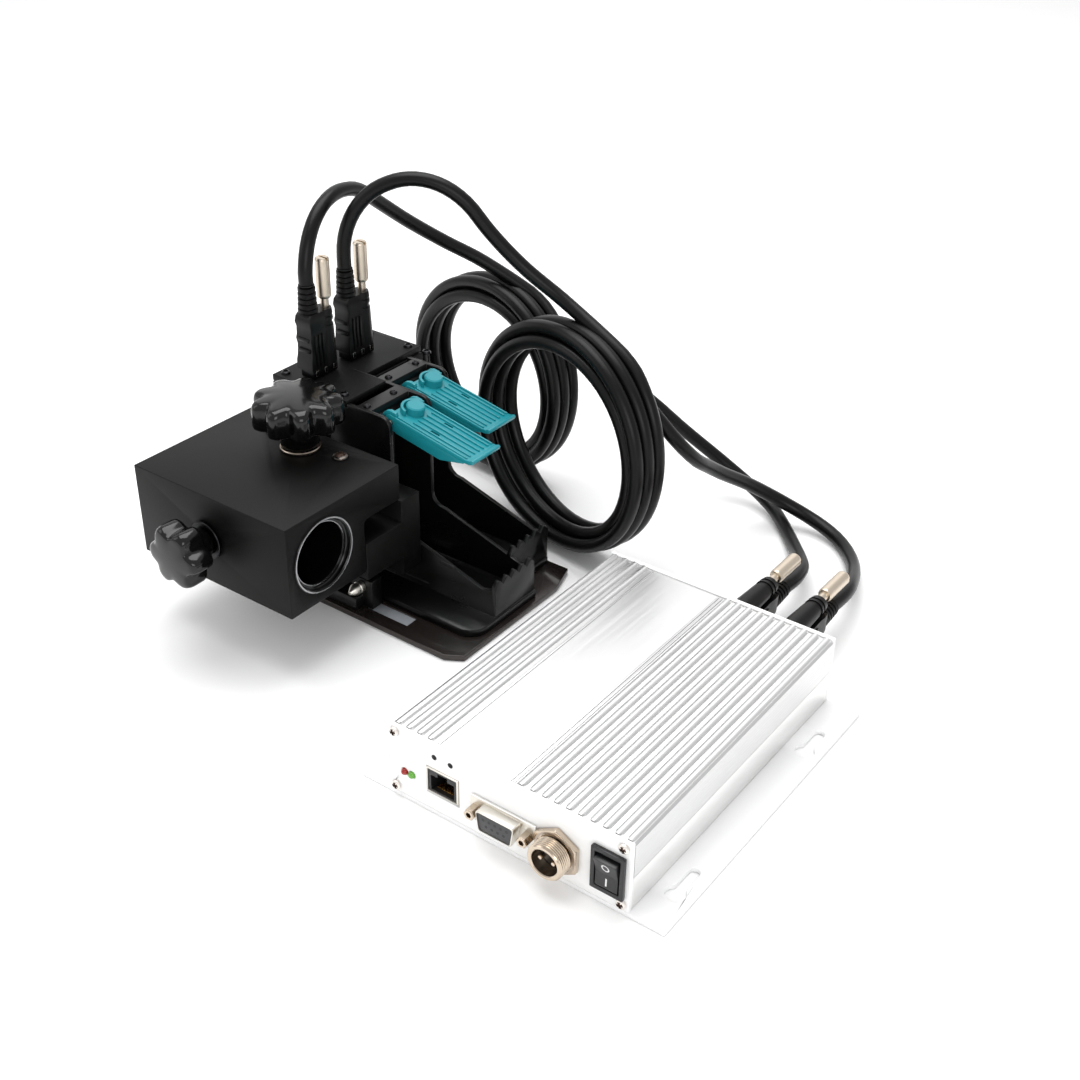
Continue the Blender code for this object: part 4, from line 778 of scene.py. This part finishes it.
side = [(y, rocker_face(y)) for y in [half - 0.6 - 0.5 * n for n in range(29)]]
side += [(-half + 0.6, -0.4 + half * rise), (-2.5, -3.0), (2.5, -3.0),
         (half - 0.6, -0.4 + half * rise)]
bm = bmesh.new()
SIDEWAYS = Matrix(((0, 0, 1, 0), (1, 0, 0, 0), (0, 1, 0, 0), (0, 0, 0, 1)))
bar(bm, side, -4.95, 4.95, rocker_at @ SIDEWAYS, 0.3)
piece("switch_rocker_cap", bm, switch_black, "rocker", "switch_rocker", 25)
bm = bmesh.new()
for n in range(32):
    a, b = radians(n * 11.25), radians(n * 11.25 + 11.25)
    corners = [(1.15 * cos(a), 1.35 * sin(a)), (1.75 * cos(a), 1.95 * sin(a)),
               (1.75 * cos(b), 1.95 * sin(b)), (1.15 * cos(b), 1.35 * sin(b))]
    bm.faces.new([bm.verts.new((x, y + 3.9, rocker_face(y + 3.9) + 0.03)) for x, y in corners])
for low, high in ((-5.6, -4.4), (-4.4, -3.2), (-3.2, -2.0)):
    bm.faces.new([bm.verts.new((x, y, rocker_face(y) + 0.03)) for x, y in
                  ((-0.35, low), (0.35, low), (0.35, high), (-0.35, high))])
bmesh.ops.transform(bm, matrix=rocker_at, verts=bm.verts)
piece("switch_marks", bm, print_white, "rocker")


# ---- main board -----------------------------------------------------------------------------
# A green glass-epoxy board in the tray's rails, with its processor, memory and capacitors, seen
# only with the roof off. The solder mask shows the tracks under it as a paler grid.
def board_laminate(name):
    made, at = on_object(name)
    tracks = add(made, "TexBrick",
                 {"Scale": 160.0, "Mortar Size": 0.03, "Color1": linear("#0f5a34"),
                  "Color2": linear("#11633a"), "Mortar": linear("#2f8a55")}, Vector=at)
    gloss = add(made, "MapRange", {"To Min": 0.26, "To Max": 0.4},
                Value=tracks.outputs["Fac"])
    links = {"Base Color": tracks.outputs["Color"], "Roughness": gloss.outputs["Result"]}
    return finish_with(made, add(made, "BsdfPrincipled", {"Specular IOR Level": 0.5},
                                 **links))


BOARD_TOP = 10.65
laminate = board_laminate("solder_masked_laminate")
finish_node("main_board", laminate, 0.1)
bm = bmesh.new()
for x, y, w, l, h in ((-12, 5, 16, 16, 1.4), (22, 12, 10, 8, 1.2), (-36, 20, 8, 12, 1.2),
                      (10, 36, 12, 9, 1.6), (36, -8, 9, 12, 3.0)):
    brick(bm, (x - w / 2, y - l / 2, BOARD_TOP), (x + w / 2, y + l / 2, BOARD_TOP + h), 0.15)
piece("main_board_chips", bm, port_black)
bm = bmesh.new()
for x, y in ((-30, -6), (-20, 34), (30, 30), (42, 8), (6, -14)):
    spin(bm, [(0, BOARD_TOP), (3.1, BOARD_TOP), (3.1, 17.4), (2.8, 17.8), (0, 17.8)],
         place(x, y, 0), 24)
piece("main_board_capacitors", bm, tin)


# ---- skid plate and stalls ------------------------------------------------------------------
# The skid plate is 3 mm steel, brushed and dipped in smoked bronze-black lacquer, and slides on
# the goods. The two stalls above it are one injection moulding in glass-filled black nylon.
def lacquered_steel(name, hexes):
    made, at = on_object(name)
    drawn = add(made, "Mapping", {"Scale": (0.03, 1, 1)}, Vector=at)
    lines = add(made, "TexNoise", {"Scale": 800.0, "Detail": 3.0},
                Vector=drawn.outputs["Vector"])
    cloud = add(made, "TexNoise", {"Scale": 30.0, "Detail": 4.0}, Vector=at)
    return two_toned(made, hexes, cloud, lines, (0.16, 0.3), lines.outputs["Fac"], 0.05,
                     {"Metallic": 0.6, "Coat Weight": 0.4, "Coat Roughness": 0.1})


bronze = lacquered_steel("bronze_lacquer", ("#2a2523", "#3a3330"))
finish_node("skid_plate", bronze, 0.3)
stall_nylon = moulded_plastic("glass_filled_nylon", ("#060606", "#0c0c0c"), 0.28, 0.0008, 0.04,
                              0.32)
finish_node("cartridge_carriage", stall_nylon, 0.3)

# a grey sheet in the slot in the plate, painted shade of the bench seen through the slot, and two
# thin black strips on the near wall, painted shade for two narrow slots
bm = bmesh.new()
brick(bm, (-148.6, 9.0, 1.6), (-124.4, 15.6, 2.6), 0.2)
slot_shade = moulded_plastic("painted_slot_shade_grey", ("#85898e", "#9b9fa4"), 0.25, 0.0006, 0.03)
piece("plate_slot_shade", bm, slot_shade)
# two thin black strips stand for narrow slots in the near wall: painted shade
bm = bmesh.new()
brick(bm, (-124, 34.25, 24.5), (-116, 34.55, 26.0), 0.1)
brick(bm, (-146, 34.25, 9.5), (-132, 34.55, 10.3), 0.1)
piece("near_wall_slot_shade", bm, port_black)


# ---- cartridge contacts ---------------------------------------------------------------------
# A black pad on each stall's back wall carries the spring contacts that meet the cartridge: four
# columns of gold-plated pins.
for name, x, y in (("near", -174.3, 49.6), ("far", -187.0, 77.8)):
    bm = bmesh.new()
    brick(bm, (x - 1.2, y - 9, 24), (x + 1.1, y + 9, 58), 0.3)
    for row in range(13):
        for column in range(4):
            at = place(x + 1.0, y - 5.4 + 3.6 * column, 27 + 2.3 * row,
                       Matrix.Rotation(radians(90), 4, "Y"))
            spin(bm, [(0, 0), (0.55, 0), (0.5, 0.5), (0, 0.75)], at, 8, 1)
    piece(f"contact_strip_{name}", bm, [port_black, gold], stands_for=f"contact_pad_{name}")


# ---- cartridge latches ----------------------------------------------------------------------
# Teal ABS levers that press the cartridges home. Each has ribs along its top, a lip to lift it
# by, a round boss and a hooked rib over the pin, and a slot on either side of the middle.
teal = moulded_plastic("teal_abs", ("#147f8a", "#1b8d97"), 0.34, 0.0008, 0.05)
SLOPE, TOP = 11, 3.8    # a shut lever's fall in degrees, and its top above the pin
for name, x, y in (("near", -157.0, 49.6), ("far", -169.7, 77.8)):
    at = place(x, y, 86.0, Matrix.Rotation(radians(SLOPE), 4, "Y"))
    lever = at @ UPRIGHT
    bm = bmesh.new()
    knuckle = [(TOP * cos(radians(a)), TOP * sin(radians(a)))
               for a in range(90, 271, 15)]
    plate = knuckle + [(3.5, -TOP), (4.4, 1.4), (43.5, 1.4), (46.5, 2.0), (48.6, 2.9), (48.9, 4.4),
                       (48.3, 5.0), (47.3, 4.9), (46.3, 4.1), (44.5, TOP)]
    bar(bm, plate, -10, 10, lever, 0.35)
    for low in (-10, 8):
        bar(bm, [(3.4, 1.6), (3.4, -4.0), (3.8, -4.2), (30.4, -4.2), (43.6, 1.0), (43.6, 1.6)],
            low, low + 2, lever, 0.3)
    made = piece(f"cartridge_lever_{name}", bm, teal, f"latch_{name}", f"cartridge_latch_{name}",
                 30)
    carve(made, spin, [(0, -14), (1.5, -14), (1.5, 14), (0, 14)],
          at @ Matrix.Rotation(radians(90), 4, "X"), 20)
    for offset in (-4.8, 4.8):
        carve(made, brick, (19.6, offset - 0.75, -1), (24.6, offset + 0.75, 6), 0, 0, at)
    bm = bmesh.new()
    for offset in (-8.9, -6.5, -3.2, 0.0, 3.2, 6.5, 8.9):
        brick(bm, (10.5 if abs(offset) < 8 else 3.0, offset - 0.45, TOP - 0.15),
              (44.4, offset + 0.45, TOP + 0.75), 0.25, 0, at)
    spin(bm, [(0, TOP - 0.3), (4.6, TOP - 0.3), (4.5, TOP + 3.6), (3.9, TOP + 4.2),
              (0, TOP + 4.35)], at @ place(5.0, 1.0, 0), 36)
    arc = [radians(95 + n * 14) for n in range(13)]
    hook = [(5.0 + out * cos(a), 1.0 + out * sin(a))
            for out, way in ((7.0, arc), (5.7, arc[::-1])) for a in way]
    bar(bm, hook, TOP - 1.2, TOP + 3.0, at, 0.2)
    for low in (-9.6, 7.6):
        bar(bm, [(-5.8, 0.6), (-5.2, 2.6), (-3.6, 4.6), (-1.5, 5.6), (2.0, 5.8), (3.0, 3.0),
                 (-1.0, 2.4)], low, low + 2, lever, 0.35)
    piece(f"cartridge_lever_ribs_{name}", bm, teal, f"latch_{name}", angle=30)
    finish_node(f"latch_pin_{name}", zinc, 0.15)


# ---- electronics housing --------------------------------------------------------------------
# The compartment behind the stalls is milled and bead-blasted aluminium, black anodised, under a
# flat lid held by button-head screws. Its circuit board stands inside.
def blasted_anodise(name, hexes, rough):
    made, at = on_object(name)
    beads = add(made, "TexVoronoi", {"Scale": 2200.0}, Vector=at)
    cloud = add(made, "TexNoise", {"Scale": 22.0, "Detail": 4.0}, Vector=at)
    return two_toned(made, hexes, cloud, cloud, (rough - 0.04, rough + 0.08),
                     beads.outputs["Distance"], 0.10, {"Specular IOR Level": 0.16})


black_anodise = blasted_anodise("black_anodised_blast", ("#060505", "#0b0a0a"), 0.47)
lid_anodise = blasted_anodise("black_anodised_lid", ("#070707", "#0c0c0d"), 0.52)
for name in ("head_housing", "slide_arm", "clamp_block"):
    finish_node(name, black_anodise, 0.35)
LID = 91.9
finish_node("housing_lid", lid_anodise, 0.35)
finish_node("head_board", laminate, 0.1)
bm = bmesh.new()
for x, y in ((-196.5, 98.5), (-184.6, 98.5), (-222.5, 98.5), (-222.5, 39.0), (-184.6, 39.0)):
    spin(bm, [(2.3, LID), (2.3, 92.3), (1.9, 93.0), (1.2, 93.3), (1.0, 92.5), (0, 92.4), (0, LID),
              (2.3, LID)], place(x, y, 0), 30)
piece("lid_screws", bm, blackened)
# three thin black strips on the lid stand for narrow slots: painted shade
bm = bmesh.new()
for x0, x1, y0, y1 in ((-200, -186, 62.0, 62.6), (-222, -210, 100.6, 101.0),
                       (-188, -181, 88.0, 88.5)):
    brick(bm, (x0, y0, LID), (x1, y1, 92.06), 0.05)
piece("lid_slot_shade", bm, port_black)
# the screws that hold the hinge ledges, one at each end
bm = bmesh.new()
for x, y in ((-170.0, 38.6), (-170.0, 57.0), (-182.7, 68.0), (-182.7, 88.0)):
    spin(bm, [(0, 90.5), (1.9, 90.5), (1.9, 90.8), (1.5, 91.4), (0.9, 91.6), (0, 91.0)],
         place(x, y, 0), 24)
piece("ledge_screws", bm, blackened)


# ---- clamp block ----------------------------------------------------------------------------
# The block slides down the arm on two shoulder screws and grips a 30 mm bar in a black acetal
# liner, whose turned lip covers the mouth of the bore.
acetal = moulded_plastic("liner_acetal", ("#040404", "#080808"), 0.18, 0.0009, 0.02, 0.35)
liner_at = place(-136, -29.6, 56.9, Matrix.Rotation(radians(90), 4, "Y"))
bm = bmesh.new()
spin(bm, [(14.6, -93.0), (17.2, -93.0), (17.2, -0.3), (17.2, 0.1), (17.9, 0.1), (18.0, 0.3),
          (17.8, 0.5), (16.8, 0.5), (16.5, 0.2), (16.4, -1.6), (16.0, -2.0), (15.0, -2.1),
          (14.6, -2.5), (14.6, -93.0)], liner_at, 96)
piece("bore_sleeve", bm, acetal, "clamp", "bore_liner", 25)
# thin bright metal rings on the lip's edge and at the step inside it: painted glints on the liner's
# edges
ring_metal = plated_metal("glint_ring_metal", "#b4b5b8", 0.18, 0.001)
bm = bmesh.new()
spin(bm, [(17.0, 0.44), (17.6, 0.44), (17.6, 0.66), (17.0, 0.66), (17.0, 0.44)], liner_at, 96)
spin(bm, [(14.7, -2.3), (15.0, -2.3), (15.0, -2.0), (14.7, -2.0), (14.7, -2.3)], liner_at, 96)
piece("bore_edge_glints", bm, ring_metal, "clamp")
# five tiny bright metal domes inside the bore: painted glints
bm = bmesh.new()
for n in range(5):
    spin(bm, [(0, 0), (0.42, 0), (0.32, 0.32), (0, 0.4)],
         liner_at @ Matrix.Rotation(radians(128 + 9 * n), 4, "Z") @ place(
             14.5, 0, -9 - 3.4 * n, Matrix.Rotation(radians(-90), 4, "Y")), 10)
piece("bore_glint_dots", bm, ring_metal, "clamp")
dark_steel = plated_metal("black_oxide_steel", "#55504c", 0.26, 0.0008)
for side, x in (("left", -203.0), ("right", -161.0)):
    cross_head(f"guide_bolt_{side}", place(x, 9.9, 79.5), 7.4, 5.0, 40.8, "clamp",
               f"guide_screw_{side}", 1.4, dark_steel)


# ---- knobs ----------------------------------------------------------------------------------
# Phenolic star knobs moulded round steel studs, polished to a deep gloss. The large one, on a
# zinc-plated washer, lowers the block on the arm; the small one, on a black one, pinches the bar.
phenolic = moulded_plastic("polished_phenolic", ("#050505", "#0a0a0a"), 0.13, 0.0012, 0.02, 0.4)


def star_knob(name, at, size, lobes, thick, hub_d, hub_t, reach, flute, body, node):
    r = size / 2

    def lobed(a, radius, z):
        if z < 0.1 * hub_t:
            return 1.0
        depth = flute * max(0.0, min(1.0, (radius - 0.5 * r) / (0.45 * r)))
        return 1 - depth * (0.5 - 0.5 * cos(lobes * a)) ** 1.4

    low, high = hub_t - 1.5, hub_t + thick
    bm = bmesh.new()
    spin(bm, [(0, -reach), (3.0, -reach), (3.8, -reach + 0.8), (3.8, -0.05), (hub_d / 2 - 0.8, 0),
              (hub_d / 2 - 0.2, 0.5), (hub_d / 2, 0.45 * hub_t), (1.08 * hub_d / 2, 0.66 * hub_t),
              (1.25 * hub_d / 2, 0.8 * hub_t), (0.78 * r, low), (0.92 * r, low + 0.3),
              (0.98 * r, low + 1.1), (r, low + 2.4), (r, high - 4.2), (0.99 * r, high - 2.6),
              (0.96 * r, high - 1.2), (0.91 * r, high - 0.2), (0.84 * r, high + 0.4),
              (0.72 * r, high + 0.045 * r), (0.5 * r, high + 0.075 * r),
              (0.25 * r, high + 0.095 * r), (0, high + 0.1 * r)], at, lobes * 22, 0, lobed)
    piece(name, bm, phenolic, body, node, 60)


star_knob("height_star", place(-182, 6, 81.2), 42.0, 9, 12.0, 18.2, 12.0, 42.7, 0.2,
          "height_knob", "height_knob")
star_knob("grip_star", place(-185, -53.2, 56.9, OUTWARD), 30.0, 6, 10.0, 14.0, 9.0, 8.0, 0.24,
          "grip_knob", "clamp_knob")
bm = bmesh.new()
spin(bm, [(4.1, 79.5), (9.2, 79.5), (9.4, 79.8), (9.4, 80.5), (9.1, 80.85), (4.1, 80.85),
          (4.1, 79.5)], place(-182, 6, 0), 56)
piece("height_washer", bm, zinc, "clamp", "height_knob_washer")
bm = bmesh.new()
spin(bm, [(4.1, 0.3), (8.8, 0.3), (9.0, 0.6), (9.0, 1.3), (8.7, 1.65), (4.1, 1.65), (4.1, 0.3)],
     place(-185, -51.2, 56.9, OUTWARD), 56)
piece("grip_washer_disc", bm, blackened, "grip_washer", "clamp_knob_washer")


# ---- product sensor -------------------------------------------------------------------------
# A small photocell in a black housing under the arm. Its turned steel nose holds the lens that
# looks down at the goods as they pass.
finish_node("sensor_block", stall_nylon, 0.3)
bm = bmesh.new()
spin(bm, [(0, 0), (3.0, 0), (3.0, 2.2), (2.7, 2.5), (2.7, 2.9), (3.0, 3.2), (3.0, 4.2), (2.4, 5.6),
          (1.5, 7.0), (0.9, 7.9), (0.5, 8.0), (0.4, 7.2), (0, 7.1)],
     place(-151.5, 8.3, 14.4, OUTWARD), 36)
piece("sensor_nose", bm, tin, stands_for="sensor_tip")
